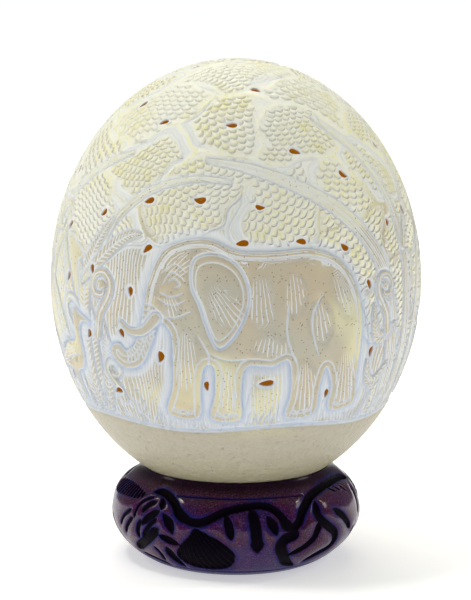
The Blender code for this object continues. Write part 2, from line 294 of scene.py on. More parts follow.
def bothEnds(widest, lean=0.8):
    return lambda along: widest * np.clip(np.sin(math.pi * np.clip(along, 0, 1) ** lean), 0, 1) ** 0.8


def oneEnd(start, end):
    return lambda along: (start + (end - start) * along) * np.sqrt(np.clip((1 - along) / 0.14, 0, 1))


def leafTop(across, along):        # across a strip runs from -1 to 1, along it in millimetres
    return -0.03 - 0.40 * np.exp(-(across / 0.13) ** 2) - 0.12 * across ** 4


def leafLines(across, along):      # ribs that slant away from the vein
    return along / 1.7 - np.abs(across) * 1.3


def limbTop(across, along):
    return -0.03 - 0.22 * across ** 4 - 0.20 * np.exp(-((across - 0.25 * np.sin(along / 9)) / 0.16) ** 2)


def limbLines(flutes):             # flutes that run along the limb
    return lambda across, along: flutes * (across + 0.10 * np.sin(along / 6))


def strokes(place, middle, pivot, half, pitch, share=0.5):
    # fine strokes that fan out from a pivot; the finish draws them
    ways = rollOn([middle, pivot], *place)
    where, x, y = patchAt(ways[0], max(half) * 1.1)
    px, py = unroll(ways[1:], ways[0])[0]
    far = math.hypot(px, py)
    ux, uy = -px / far, -py / far
    along, across = (x - px) * ux + (y - py) * uy, (y - py) * ux - (x - px) * uy
    inside = easeIn(1 - np.hypot((along - far) / half[0], across / half[1]), 0, 0.35) * share
    strokeTurns[where] = np.where(inside > strokeShare[where], np.arctan2(across, along) * far / pitch,
                                  strokeTurns[where])
    strokeShare[where] = np.maximum(strokeShare[where], inside)


ground = {
    "latitude": -38.1,
    "rise": 0.9,
    "waves": 5,
    "cut": 0.055,
    "lineWidth": 2.0,
    "lineDepth": 0.8,
    "streakPitch": 1.55,
    "streakShare": 0.95,
    # blades, seed, shortest, longest, width and depth of the cut
    "tallGrass": (260, 5, 4, 13, 0.85, 0.75),
    "shortGrass": (220, 8, 1.5, 4.5, 0.8, 0.55),
    "lineStep": 12,
}


def groundAt(longitude):           # degrees
    return ground["latitude"] + ground["rise"] * np.sin(np.radians(ground["waves"] * longitude))


def cutGround():
    lat, lon = np.degrees(rowLatitude)[:, None], np.degrees(columnLongitude)[None, :]
    above = (lat - groundAt(lon)) * math.radians(1) * sheet["ballRadius"]
    depth[:] = -ground["cut"] * easeIn(above, 0.2, 1.2)
    turns = np.radians(lon) * sheet["ballRadius"] / ground["streakPitch"]
    strokeTurns[:] = turns + 0.8 * np.sin(lat / 9 + 3 * np.sin(lon / 9)) + 0.4 * np.sin(lat / 4.1 + lon / 4)
    patches = 0.75 + 0.25 * np.sin(lon / 5.7 + lat / 9) + 0.2 * np.sin(lon / 2.3 - lat / 13)
    strokeShare[:] = ground["streakShare"] * patches * easeIn(above, 0.8, 2)


crown = {
    "spacing": 25.0,
    "reach": 17.5,
    "stretch": (1.42, 1.12),       # how long and how low a clump is
    "sweep": 0.8,                  # how far the clumps lean
    "ridge": 0.4,
    "channel": 2.2,
    "channelDepth": 0.55,
    "lines": 1.05,                 # fine lines along the channels, from one to the next
    "field": 0.03,
    "between": 0.16,               # how deep the shell is cut where there are no scoops
    "scoop": (3.1, 2.05),          # from one scoop to the next, and from row to row
    "scoopDepth": 0.56,
    "lip": (0.10, 0.52),           # where a scoop's lower lip is, and how much it curls up
    "tries": 9000,
    # how low the leaves hang: longitude, latitude
    "edge": ((-180, 30), (-168, 24), (-158, 14), (-140, 8), (-116, 4), (-100, 10), (-90, 20), (-82, 26),
             (-66, 24), (-52, 20), (-38, 25), (-20, 29), (4, 29), (24, 28), (36, 22), (44, 8), (54, -4),
             (66, -10), (78, -4), (96, 4), (112, 6), (126, 16), (138, 32), (152, 42), (168, 42), (180, 30)),
    "clearings": ((47, -30), (50, -19), (-44, -31)),       # no leaves here
    "bushes": ((70, -26), (123, -28), (-142, -30), (-95, -27), (168, -30)),
}


def crownSpots():
    draw = np.random.default_rng(11)
    edgeLongitude, edgeLatitude = np.array(crown["edge"]).T
    spots = [wayTo(*spot) for spot in crown["clearings"] + crown["bushes"]]
    for _ in range(crown["tries"]):
        longitude, height = draw.uniform(-180, 180), draw.uniform(-0.3, 1)
        latitude = math.degrees(math.asin(height))
        if latitude < np.interp(longitude, edgeLongitude, edgeLatitude) + 3:
            continue
        way = wayTo(longitude, latitude)
        apart = crown["spacing"] * (0.86 + 0.14 * math.sin(3 * longitude))
        if min(np.arccos(np.clip(np.array(spots) @ way, -1, 1))) * sheet["ballRadius"] > apart:
            spots.append(way)
    return spots


def hollowOf(across, up):          # a scoop is deepest just above its lower lip
    row = np.floor(up)
    side = 2 * ((across + row / 2) % 1) - 1
    above = up - row - crown["lip"][0] - crown["lip"][1] * side * side
    return easeIn(above, 0, 0.1) * easeIn(-above, -0.65, -0.05) * easeIn(-np.abs(side), -0.98, -0.7)


def carveCrown():
    spots = crownSpots()
    nearest = np.full((rows, columns), 99, np.float32)
    second = np.full((rows, columns), 99, np.float32)
    owner = np.full((rows, columns), -1, np.int32)
    stretch, squeeze = crown["stretch"]

    def clumpSpots(number):            # the sheet round a clump, along and across its lean
        way = spots[number]
        lean = crown["sweep"] * math.sin(2 * math.atan2(way[0], -way[1]) + 3 * way[2])
        where, x, y = patchAt(way, crown["reach"] * stretch * 1.2)
        x, y = x + 1.1 * np.sin(y / 3.7 + number), y + 1.1 * np.sin(x / 4.5 + 2 * number)
        return where, x * math.cos(lean) + y * math.sin(lean), y * math.cos(lean) - x * math.sin(lean)

    clumps = range(len(crown["clearings"]), len(spots))
    for number in clumps:
        where, u, v = clumpSpots(number)
        turn = np.arctan2(v, u)
        lobes = 1 + 0.06 * np.sin(5 * turn + number) + 0.035 * np.sin(11 * turn + 2 * number)
        far = np.hypot(u / stretch, v * squeeze) / lobes
        first = nearest[where]
        second[where] = np.minimum(second[where], np.maximum(first, far))
        owner[where] = np.where(far < first, number, owner[where])
        nearest[where] = np.minimum(first, far)
    rim = crown["reach"] - nearest
    gap = np.minimum((second - nearest) / 2, rim)
    ys, xs = np.meshgrid(rowLatitude, columnLongitude, indexing="ij")
    ridge = crown["ridge"] * (1 + 0.5 * np.sin(5 * ys + 2.0 * np.sin(4 * xs)) + 0.3 * np.sin(9 * xs))
    channel = crown["channel"] * (1 + 0.35 * np.sin(3 * ys - 7 * xs) + 0.25 * np.sin(11 * ys + 4 * xs))
    # the channels fade out in places
    seen = easeIn(np.sin(4 * xs + 5 * ys) + np.sin(7 * xs - 3 * ys + 1), -1.0, 0.3)
    channel = channel * (0.25 + 0.75 * seen)
    deep = crown["channelDepth"] * (0.15 + 0.85 * (owner % 2)) * seen
    top = -crown["field"] - deep * np.exp(-((gap - ridge - channel / 2) / (channel * 0.45)) ** 2)
    cut = -0.85 * np.exp(-(np.maximum(-rim, 0) / 1.1) ** 2)
    depth[:] = np.minimum(depth, np.where(rim > -4, cut, 0))
    share = easeIn(rim, -0.15, 0.25)
    depth[:] = depth * (1 - share) + top * share
    along = np.exp(-((gap - ridge - channel / 2) / (channel * 0.5)) ** 4) * (owner % 2) * (rim > 0) * seen
    strokeTurns[:] = np.where(rim > 0.3, gap / crown["lines"] + 0.12 * np.sin(21 * xs + 9 * ys), strokeTurns)
    strokeShare[:] = strokeShare * easeIn(-rim, 0.3, 1.5) + 0.55 * along
    clear = gap > ridge + channel * (0.1 + 0.75 * (owner % 2))
    pitch, rise = crown["scoop"]
    for number in clumps:
        where, u, v = clumpSpots(number)
        size = (0.88, 1.0, 1.1)[number % 3]
        across = (u + 0.35 * np.sin(v / 2.9 + number)) / (pitch * size)
        up = (v + 0.5 * np.sin(u / 4.7 + 2 * number) + 0.012 * u * u) / (rise * size)
        own = owner[where] == number
        row = np.floor(up)
        column = np.floor(across + row / 2)
        ids = ((row - row.min()) * 400 + column - column.min()).astype(int)
        inside = np.bincount(ids.ravel(), (own & clear[where]).ravel())
        whole = inside > 0.8 * np.bincount(ids.ravel())    # only whole scoops are cut
        scoopAcross[where] = np.where(own, across, scoopAcross[where])
        scoopUp[where] = np.where(own, up, scoopUp[where])
        scoopShare[where] = np.where(own, whole[ids], scoopShare[where])
    between = easeIn(rim, 0.3, 1.2) * easeIn(gap, ridge - 0.2, ridge + 0.2) * (scoopShare < 0.5)
    depth[:] = np.minimum(depth, -crown["between"] * between)
    print("clumps of leaves carved:", len(clumps))


cutGround()
carveCrown()

trees = {
    # the limb's middle line (longitude, latitude), half its width at both ends, flutes
    "limbs": (
        (((60, -37), (57, -18), (54, -2), (49, 13), (38, 26), (23, 35), (6, 41), (-12, 44)), 4.2, 1.3, 3),
        (((66, -37), (65, -12), (64, 10), (62, 28), (54, 44), (38, 57)), 3.4, 1.1, 2),
        (((72, -37), (73, -14), (76, 6), (84, 22), (97, 33), (112, 39)), 3.4, 1.0, 2),
        (((-82, -37), (-84, -14), (-82, 8), (-74, 26), (-60, 38), (-42, 45)), 3.4, 1.2, 3),
        (((-90, -37), (-93, -12), (-98, 12), (-110, 30), (-130, 40)), 3.2, 1.0, 2),
        (((178, -37), (179, -12), (180, 10), (184, 30), (196, 46)), 3.6, 1.0, 3),
        (((181, -20), (176, 2), (170, 20), (158, 34), (146, 44)), 1.8, 0.8, 1),
        (((-47, 12), (-42, 24), (-30, 34), (-14, 38), (0, 37)), 1.5, 0.7, 1),
        (((64, 14), (72, 26), (80, 40), (84, 54)), 1.6, 0.7, 1),
    ),
    "limbSteps": 4,
    # the leaf's middle line, half its width
    "leaves": (
        (((-52, -37), (-50, -20), (-50, -4), (-56, 12)), 3.2),
        (((-56, -37), (-57, -18), (-60, 0), (-68, 18)), 3.4),
        (((-60, -37), (-64, -20), (-70, -4), (-78, 6)), 3.0),
        (((-50, -37), (-45, -24), (-43, -14), (-45, -2)), 2.5),
        (((-66, -37), (-70, -28), (-76, -20), (-82, -14)), 2.5),
        (((-53, -37), (-53, -10), (-50, 12), (-42, 26)), 3.2),
        (((-54, 4), (-44, 14), (-36, 20), (-30, 21)), 2.4), (((58, -8), (50, -12), (47, -8), (46, 0)), 2.2),
        (((57, -20), (51, -26), (47, -24), (45, -17)), 2.0),
        (((112, -37), (116, -26), (124, -16), (130, -4)), 2.8),
        (((116, -37), (124, -30), (132, -26), (138, -24)), 2.4),
        (((126, -4), (128, 6), (126, 16), (120, 24)), 2.4),
        (((-136, -37), (-140, -26), (-140, -14), (-134, -2)), 2.8),
        (((-100, -36), (-96, -26), (-97, -16)), 2.2),
        (((232, 2), (228, -8), (226, -20), (229, -34)), 2.6),
        (((168, -37), (166, -26), (167, -14), (172, -4)), 2.4),
    ),
    "leafSteps": 6,
    "curl": ((-3, -16), (-1, -8), (3, -2), (4, 3), (1, 6.5), (-3.5, 5.5), (-5, 1.5), (-3, -1.5),
             (0.5, -1), (1, 1.5)),
    "curlWidth": (1.7, 0.9),
    "curls": (((-44, 3), 1.0, False), ((-60, -6), 0.9, True), ((-72, 20), 1.1, False), ((51, 2), 0.9, True),
              ((84, 12), 1.1, False), ((-42, -22), 0.6, True), ((126, -8), 0.9, True),
              ((-132, -2), 1.0, False), ((-104, 0), 0.9, True), ((166, -6), 0.8, False),
              ((-148, 10), 0.9, False), ((112, 10), 0.8, True)),
}


def growTrees():
    for line, start, end, flutes in trees["limbs"]:
        ways = wayTo(*smoothLine(line, trees["limbSteps"]).T)
        ribbon(ways, oneEnd(start, end), limbTop, limbLines(flutes), 0.95)
    for line, widest in trees["leaves"]:
        ways = wayTo(*smoothLine(line, trees["leafSteps"]).T)
        ribbon(ways, bothEnds(widest), leafTop, leafLines, 0.7)
    curl = smoothLine(trees["curl"], 4)
    for place in trees["curls"]:
        ribbon(rollOn(curl, *place), oneEnd(*trees["curlWidth"]), limbTop, limbLines(1), 0.8)


def growGrass(count, seed, lowest, highest, width, deep):
    draw = np.random.default_rng(seed)
    for i in range(count):
        longitude = -180 + 360 * (i + draw.uniform(-0.3, 0.3)) / count
        high = draw.uniform(lowest, highest) * (1.5 if i % 3 == 0 else 1)
        lean = draw.normal(0, 0.22)
        line = [(t * t * high * lean, t * high) for t in np.linspace(0, 1, 4)]
        gouge(rollOn(line, (longitude, groundAt(longitude) + 0.6)), width, deep, 0.6)


growTrees()
growGrass(*ground["tallGrass"])
print("trees, leaves and grass carved")

elephant = {
    "contourPitch": 0.95,          # fine lines that follow the back and the brow
    "line": ((-24, 28), (-31, 24), (-35.5, 15), (-37.5, 6), (-39, -4), (-41.5, -11), (-45, -14),
             (-48, -12), (-51, -13.5), (-50.5, -18), (-45, -21), (-38.5, -18), (-34.5, -9), (-32, -1),
             (-27.5, -4), (-26.5, -14), (-26.5, -25), (-28, -36), (-17, -36), (-16.5, -25), (-15.5, -16),
             (-12, -16), (-11.5, -26), (-12.5, -36), (-2.5, -36), (-2.5, -26), (-1, -15.5), (8, -15.5),
             (14, -14), (15, -26), (13.5, -36), (24, -36), (25.5, -26), (28, -18), (30.5, -26), (30, -36),
             (40.5, -36), (41, -25), (42.5, -12), (43, 0), (40, 12), (33, 21), (22, 25), (8, 24.5),
             (-4, 25), (-14, 29)),
    "ear": ((-19, 22), (-11, 24), (-3, 19), (0, 9), (-3.5, -2), (-10, -9), (-14, -3), (-17, 6), (-20, 13)),
    "place": ((4, -4), 1.0, False),
    # fans of fine strokes: middle, pivot, half length and width, pitch
    "fans": (((4, 7), (2, 34), (10, 6), 1.5), ((16, 9), (12, 38), (9, 5), 1.5),
             ((35, 8), (25, 32), (10, 5), 1.5), ((25.5, -1), (21, 24), (9, 5), 1.5),
             ((-8.5, 6), (-18, 20), (10, 6), 1.4), ((-25, 20), (-40, 4), (6, 5), 1.3),
             ((-22, -14), (-22, 10), (13, 5), 1.3), ((-7, -24), (-7, 0), (10, 4), 1.3),
             ((20, -24), (19, -2), (11, 5), 1.3), ((36, -24), (34, 0), (12, 5), 1.3),
             ((8, -8.5), (10, 16), (4.5, 8), 1.5), ((-27, 5), (-30, 16), (5, 4), 1.2)),
    # lines, their width and depth
    "marks": (
        (((-29, 13), (-26.5, 15), (-24, 13), (-26.5, 11.6)), 0.9, 0.6),
        (((-31, 12), (-27, 17.4), (-22, 14)), 0.9, 0.45), (((-32, 10), (-27, 8.6), (-22.5, 10.5)), 0.9, 0.45),
        (((-31, 16.5), (-26, 20.2), (-21.5, 17)), 0.8, 0.35), (((-33, 8), (-27, 5.6), (-21.5, 8)), 0.8, 0.35),
        (((42, 6), (45, -2), (46.5, -12), (45.5, -18)), 1.3, 0.8),
        (((-30, 1), (-25, 1.5), (-20, 4)), 1.0, 0.45),
        (((-15, -10), (-8, -13), (0, -12.5), (8, -13.2)), 0.9, 0.35),
        (((14, 8), (13, -4), (16, -14)), 1.1, 0.42), (((27, 10), (22, 0), (25, -14)), 1.1, 0.42),
        (((-18, -4), (-14, -11), (-14, -16)), 1.0, 0.4),
    ),
    # the trunk's two edges, between which its rings run
    "trunkFront": ((-37.4, 7), (-38.8, -3), (-41.2, -10.3), (-46, -13.6)),
    "trunkBack": ((-31, 5), (-33.2, -7), (-37.6, -15.8), (-45.5, -20)),
    "trunkRings": 14,
    "tusk": ((-33, 0.5), (-38, -5), (-43.5, -5.8), (-47.5, -2.4)),
    "toes": (-25.5, -22.5, -19.5, -10, -7.3, -4.8, 16, 18.8, 21.6, 32.4, 35.3, 38.2),
}
giraffe = {
    "line": ((17, 36), (19.5, 34.3), (17, 32.5), (12, 33), (9.5, 30), (7.8, 22), (7, 12), (8.5, 3),
             (9, -4), (8.5, -14), (8, -26), (8.8, -42), (4.6, -42), (4.4, -27), (3.6, -13.5),
             (1.8, -14), (0.4, -27), (0, -42), (-4, -42), (-3.6, -26), (-3, -11.5), (-9, -10.5),
             (-12.5, -13), (-11.6, -26), (-12.5, -42), (-16.6, -42), (-16, -28), (-16.8, -16),
             (-19.6, -27), (-20.6, -42), (-24.6, -42), (-23, -27), (-22, -12), (-23, -3), (-20.5, 5),
             (-14, 9), (-7, 12), (-3, 17), (0.5, 25), (3, 33), (6, 38.5), (8.5, 40.5), (12, 38.5)),
    "places": (((152, 0.5), 0.98, False), ((204, -13.5), 0.6, True)),
    "patchSize": 5.4,
    "marks": ((((9.5, 37.2), (10.6, 37.4), (11.2, 36.6)), 0.9, 0.5), (((15, 34.2), (17.6, 34.4)), 0.8, 0.4),
              (((7.4, 39.8), (6.6, 43)), 1.1, 0.5), (((-22.4, -2), (-25, -8), (-24.6, -16)), 1.2, 0.8)),
    "neck": ((-7, 12), (-3, 17), (0.5, 25), (3, 33)),      # where the mane grows
    "maneHairs": 12,
}
antelope = {
    "line": ((-23.5, 9.6), (-23.2, 7.2), (-18.6, 6.6), (-15.2, 4.5), (-13.6, -2), (-12.6, -12),
             (-12.8, -22), (-9.8, -22), (-9.2, -13), (-7.4, -7.5), (-6, -13), (-7, -22), (-4, -22),
             (-3.2, -12), (-1.5, -6.5), (6, -5.2), (9.6, -8), (9, -15), (9.8, -22), (12.8, -22),
             (12.6, -15), (14.6, -9), (16.2, -15), (16, -22), (19, -22), (19.4, -14), (20, -5), (19, 2),
             (14, 5.4), (6, 5.2), (-2, 5.8), (-7, 8.4), (-10.4, 13), (-12.4, 17), (-16, 15.6), (-20, 12.6)),
    "places": (((96, -17.5), 0.95, True), ((-116, -17.5), 0.95, False)),
    "horns": (((-13.5, 15.5), (-12.5, 20), (-8.5, 24.5), (-6.5, 29.5)),
              ((-15, 15), (-16, 20), (-13, 25.5), (-12, 30))),
    "fans": (((12, -1), (6, 14), (6, 6), 1.4), ((-6, 0), (-4, 14), (7, 5), 1.3),
             ((3, 0), (2, 16), (5, 5), 1.5), ((-13, 9), (-6, 18), (5, 4), 1.1)),
    "marks": ((((-17.8, 12.4), (-16.8, 13.2), (-15.8, 12.6)), 0.9, 0.5),
              (((-14, 13.5), (-10.6, 15.4), (-8.6, 17)), 1.0, 0.5),
              (((-4, -4), (3, -2.4), (10, -3.4)), 0.9, 0.35), (((19.4, 2), (22, -2), (21.6, -6)), 1.1, 0.7)),
}
crane = {
    "line": ((14, 12.6), (8.4, 15), (5, 16.6), (3, 14.6), (3.4, 10), (2.6, 5), (-4, 3), (-10, -1),
             (-17, -6), (-12, -7.4), (-4.6, -7.8), (-4.4, -18), (-2.2, -18), (-2, -8), (3.4, -5.6),
             (6.6, 0), (6.4, 8), (8.4, 12.4)),
    "place": ((-62, -18.5), 1.0, False),
    "fans": (((-5, -1), (10, 3), (9, 4), 1.2), ((-11, -5), (6, 0), (6, 3), 1.1)),
    "marks": ((((5, 0), (-2, -1.5), (-10, -4.6)), 0.9, 0.4), (((6.2, 14.6), (7.2, 14.8)), 0.9, 0.5),
              (((4, 15.6), (2, 17), (0, 18)), 0.8, 0.5), (((4, 15.6), (1.7, 15), (-0.6, 16)), 0.8, 0.5),
              (((4, 15.6), (2.2, 19), (0.4, 20)), 0.8, 0.5)),
}


def figure(line, place, second=0.0, deep=1.0, spread=2.6, steps=4):
    # a figure left at the shell's own level, with the ground cut away round it
    spot, scale, flip = place
    line = smoothLine(line, steps, closed=True)
    where, x, y = patchAt(wayTo(*spot), np.hypot(*line.T).max() * scale + 2.5 * spread)
    fx, fy = x / scale * (-1 if flip else 1), y / scale
    limit = max(2.2 * spread, second + 2) / scale
    away = nearLine(fx, fy, line, limit, closed=True)[0] * scale
    inside = isInside(fx, fy, line)
    cut = -deep * np.exp(-(away / spread) ** 1.3) * (away < limit * scale)
    depth[where] = np.where(inside, depth[where], np.minimum(depth[where], cut))
    signed = np.where(inside, away, -away)
    top = -0.24 * np.exp(-np.maximum(signed, 0) / 0.6)
    if second:
        top = top - 0.26 * np.exp(-((signed - second) / 0.38) ** 2) * (signed > 0)
    blend(where, top, easeIn(signed, -0.16, 0.14))
    quieten(where, easeIn(-signed, 0.8, 2.4))
    return where, fx, fy, signed


def mark(place, points, width, deep, closed=False):
    gouge(rollOn(smoothLine(points, 4, closed), *place), width, deep, 0.25, closed)


def detail(kind, place):           # a figure's fans of fine strokes and its lines
    for middle, pivot, half, pitch in kind.get("fans", ()):
        strokes(place, middle, pivot, half, pitch)
    for points, width, deep in kind["marks"]:
        mark(place, points, width, deep)


def patchwork(where, fx, fy, signed, size, seed):    # the giraffe's coat
    draw = np.random.default_rng(seed)
    first, second = np.full(fx.shape, 99.0), np.full(fx.shape, 99.0)
    for i in range(-6, 7):
        for j in range(-10, 11):
            cx = (i + 0.5 * (j % 2) + draw.uniform(-0.25, 0.25)) * size
            cy = (j + draw.uniform(-0.25, 0.25)) * size * 0.86
            far = np.hypot(fx - cx, fy - cy)
            second = np.minimum(second, np.maximum(first, far))
            first = np.minimum(first, far)
    lines = np.exp(-((second - first) / 0.75) ** 2) * easeIn(signed, 0.8, 1.6) * easeIn(fy, -30, -14)
    depth[where] -= 0.30 * lines


def carveElephant():
    place = elephant["place"]
    where, _, fy, signed = figure(elephant["line"], place, second=2.3, spread=2.1)
    share = easeIn(signed, 0.4, 0.8) * easeIn(-signed, -4.6, -3.4) * easeIn(fy, -2, 8)
    strokeTurns[where] = np.where(share > 0, signed / elephant["contourPitch"], strokeTurns[where])
    strokeShare[where] = np.maximum(strokeShare[where], 0.75 * share)
    mark(place, elephant["ear"], 1.7, 0.8, closed=True)
    inner = [(x * 0.82 - 2.0, y * 0.82 + 1.3) for x, y in elephant["ear"]]
    mark(place, inner, 0.9, 0.32, closed=True)
    detail(elephant, place)
    for share in np.linspace(0.06, 0.94, elephant["trunkRings"]):
        front, back = (np.array([np.interp(share * 3, range(4), side) for side in zip(*elephant[edge])])
                       for edge in ("trunkFront", "trunkBack"))
        bow = (back - front)[::-1] * (0.13, -0.13)
        mark(place, [front, (front + back) / 2 - bow, back], 0.9, 0.42)
    tusk = smoothLine(elephant["tusk"], 4)
    ribbon(rollOn(tusk, *place), lambda t: 1.6 * (1 - t) ** 0.6 + 0.25, lambda a, t: -0.01 - 0.2 * a ** 2)
    for x in elephant["toes"]:
        mark(place, [(x - 1.2, -36), (x - 0.9, -33.8), (x + 0.9, -33.8), (x + 1.2, -36)], 0.8, 0.5)


def hornTop(across, along):        # horns are ringed
    return -0.04 - 0.3 * np.sin(along * 3) ** 2


def carveOthers():
    figure(crane["line"], crane["place"], deep=0.9)
    detail(crane, crane["place"])
    neckX, neckY = zip(*giraffe["neck"])
    for number, place in enumerate(giraffe["places"]):
        where, fx, fy, signed = figure(giraffe["line"], place, spread=2.6 * place[1])
        patchwork(where, fx, fy, signed, giraffe["patchSize"], 40 + number)
        detail(giraffe, place)
        for y in np.linspace(12, 34, giraffe["maneHairs"]):
            x = np.interp(y, neckY, neckX)
            mark(place, [(x + 0.4, y), (x - 1.6, y + 1.6)], 0.8, 0.4)
    for place in antelope["places"]:
        for horn in antelope["horns"]:
            ribbon(rollOn(smoothLine(horn, 4), *place), oneEnd(0.9, 0.35), hornTop)
        figure(antelope["line"], place, spread=2.2)
        detail(antelope, place)


def drawGroundLine():
    lat, lon = np.degrees(rowLatitude)[:, None], np.degrees(columnLongitude)[None, :]
    above = easeIn(lat - groundAt(lon), -0.3, 0.3)
    depth[:] *= above
    quieten(slice(None), above)
    for start in range(-180, 180, ground["lineStep"]):
        longitudes = np.linspace(start, start + ground["lineStep"], 9)
        gouge(wayTo(longitudes, groundAt(longitudes)), ground["lineWidth"], ground["lineDepth"], 0)


carveElephant()
carveOthers()
growGrass(*ground["shortGrass"])
drawGroundLine()
print("figures carved")

piercing = {
    "bend": 0.45,
    "swell": 0.35,
    "bevel": 0.85,
    "bevelDepth": 0.5,
    "rim": 0.45,                   # how far the even rim reaches, how deep it lies, and its share
    "rimDepth": 0.45,
    "rimShare": 0.7,
    "quiet": 0.7,                  # no strokes or scoops this close
    # middle (longitude, latitude), length, width, tilt
    "holes": (
        (-23.4, -15, 4.2, 2.4, 80), (-9.1, -23.5, 3.6, 1.7, 90), (9.6, -22.6, 5.2, 2.2, 5),
        (30.8, -27.5, 3.4, 1.7, 90), (46.5, -16, 4.0, 2.0, 80), (44, 5, 3.6, 2.0, 105),
        (2, 19.6, 4.4, 2.2, 5), (20.5, 19.6, 3.8, 2.0, -8), (35.5, 17, 3.8, 2.2, -35),
        (-28, 17, 4.0, 2.2, 40), (-33, 4, 3.6, 2.0, 95), (-36.5, -9, 3.4, 2.0, 115),
        (-42, -28, 3.6, 2.0, 15), (-51, -11, 3.4, 2.0, 70), (-70, -27, 3.4, 1.8, 90),
        (-49, 9, 3.6, 2.0, 100), (-62, 5, 3.8, 2.0, 70), (-66, 20, 4.0, 2.0, 60),
        (-48, 26, 3.4, 2.0, 50), (-30, 31, 3.8, 2.2, 20), (-36, 55, 3.4, 1.9, 30),
        (-12, 32, 4.2, 2.4, 0), (8, 30, 3.4, 1.8, 170), (-2, 55, 3.8, 2.0, 0),
        (24, 46, 4.0, 2.2, 160), (42, 38, 3.8, 2.2, 140), (14, 68, 3.4, 1.8, 150),
        (74, 44, 3.6, 2.0, 120), (71, 24, 3.8, 2.2, 100), (57, 22, 3.2, 1.8, 70),
        (80, -6, 3.8, 2.0, 85), (79, -26, 3.4, 1.8, 90), (92, 12, 3.8, 2.2, 60),
        (104, 24, 3.6, 2.0, 30), (114, 4, 3.8, 2.0, 60), (120, -22, 3.4, 1.8, 90),
        (100, 50, 3.6, 2.0, 90), (124, 30, 3.6, 2.0, 100), (134, 14, 3.8, 2.2, 70),
        (137, -14, 3.8, 2.0, 80), (150, 50, 3.8, 2.0, 20), (170, 28, 3.8, 2.0, 80),
        (168, 2, 3.8, 2.0, 90), (171, -24, 3.6, 1.8, 90), (192, 18, 3.8, 2.2, 100),
        (190, -8, 3.6, 1.8, 90), (212, 10, 3.8, 2.2, 70), (218, 36, 3.6, 2.0, 110),
        (222, -16, 3.8, 1.8, 90), (200, 62, 3.6, 2.0, 0), (234, 14, 3.8, 2.2, 70),
        (240, 48, 3.4, 2.0, 100), (248, 10, 3.8, 2.0, 80), (256, 34, 3.6, 2.0, 60),
        (272, 14, 3.8, 1.8, 80), (282, 36, 3.6, 2.0, 120), (272, -24, 3.6, 1.8, 90),
        (300, 60, 3.4, 1.8, 60),
    ),
}


def holeWays(number, angles):
    longitude, latitude, length, width, tilt = piercing["holes"][number]
    bend = piercing["bend"] * math.cos(2.4 * number)
    x = length / 2 * np.cos(angles)
    y = width / 2 * np.sin(angles) * (1 + piercing["swell"] * np.cos(angles)) + bend * np.cos(2 * angles) / 2
    turn = math.radians(tilt)
    points = np.stack([x * math.cos(turn) - y * math.sin(turn), x * math.sin(turn) + y * math.cos(turn)], -1)
    return rollOn(points, (longitude, latitude))


def bevelHoles():
    corners = np.arange(egg["holeCorners"]) / egg["holeCorners"] * 2 * math.pi
    for number in range(len(piercing["holes"])):
        ways = holeWays(number, corners)
        middle = middleOf(ways)
        line = unroll(ways, middle)
        where, x, y = patchAt(middle, np.hypot(*line.T).max() + 3 * piercing["bevel"])
        away = nearLine(x, y, line, 3 * piercing["bevel"], closed=True)[0]
        away = np.where(isInside(x, y, line), 0, away)
        cut = -piercing["bevelDepth"] * np.exp(-(away / piercing["bevel"]) ** 2)
        depth[where] = np.minimum(depth[where], cut)
        blend(where, -piercing["rimDepth"], piercing["rimShare"] * np.exp(-(away / piercing["rim"]) ** 2))
        quieten(where, 1 - np.exp(-(away / piercing["quiet"]) ** 2))


bevelHoles()
np.clip(depth, sheet["deepest"], 0, out=depth)
scoopShare = easeIn(scoopShare, 0.3, 0.7)
relief = depth - crown["scoopDepth"] * scoopShare * hollowOf(scoopAcross, scoopUp)
print("holes marked:", len(piercing["holes"]))


def takePoints(mesh):
    points = np.empty(len(mesh.vertices) * 3, np.float32)
    mesh.vertices.foreach_get("co", points)
    return points.reshape(-1, 3)


def givePoints(mesh, points):
    mesh.vertices.foreach_set("co", np.ascontiguousarray(points, np.float32).ravel())
    mesh.update()


def sample(values, row, column):    # between the four nearest cells of a sheet that wraps round
    high, wide = values.shape
    row = np.clip(row, 0, high - 1.001)
    i, j = row.astype(int), np.floor(column).astype(int)
    s, t = row - i, column - j
    left, right = j % wide, (j + 1) % wide
    return ((values[i, left] * (1 - t) + values[i, right] * t) * (1 - s)
            + (values[i + 1, left] * (1 - t) + values[i + 1, right] * t) * s)


def sampleSheet(values, ways):
    latitude = np.arcsin(np.clip(ways[:, 2], -1, 1))
    longitude = np.arctan2(ways[:, 0], -ways[:, 1])
    return sample(values, (latitude / math.pi + 0.5) * rows - 0.5,
                  (longitude / (2 * math.pi) + 0.5) * columns - 0.5)


def onEgg(ways, offset):
    latitude = np.arcsin(np.clip(ways[:, 2], -1, 1))
    points = ways * (eggReach(latitude) - egg["inset"] + offset)[:, None] + (0, 0, eggHeight)
    return points * millimetre


def unitWays(points):
    return points / np.linalg.norm(points, axis=1)[:, None]


def pick(*pieces):                 # the first becomes the active one
    bpy.ops.object.select_all(action="DESELECT")
    for piece in pieces:
        piece.select_set(True)
    bpy.context.view_layer.objects.active = pieces[0]


def joinInto(target, others):
    pick(target, *others)
    bpy.ops.object.join()
    return target


def makeHoleCutter():
    blocks = []
    for number in range(len(piercing["holes"])):
        bpy.ops.mesh.primitive_cylinder_add(vertices=egg["holeCorners"], radius=1, depth=2)
        block = bpy.context.object
        points = takePoints(block.data)
        ways = holeWays(number, np.arctan2(points[:, 1], points[:, 0]))
        givePoints(block.data, onEgg(ways, np.where(points[:, 2] > 0, egg["wall"], -2 * egg["wall"])))
        blocks.append(block)
    return joinInto(blocks[0], blocks[1:])


def applyModifier(piece, kind, **settings):
    pick(piece)
    modifier = piece.modifiers.new(kind.lower(), kind)
    for name, value in settings.items():
        setattr(modifier, name, value)
    bpy.ops.object.modifier_apply(modifier=modifier.name)


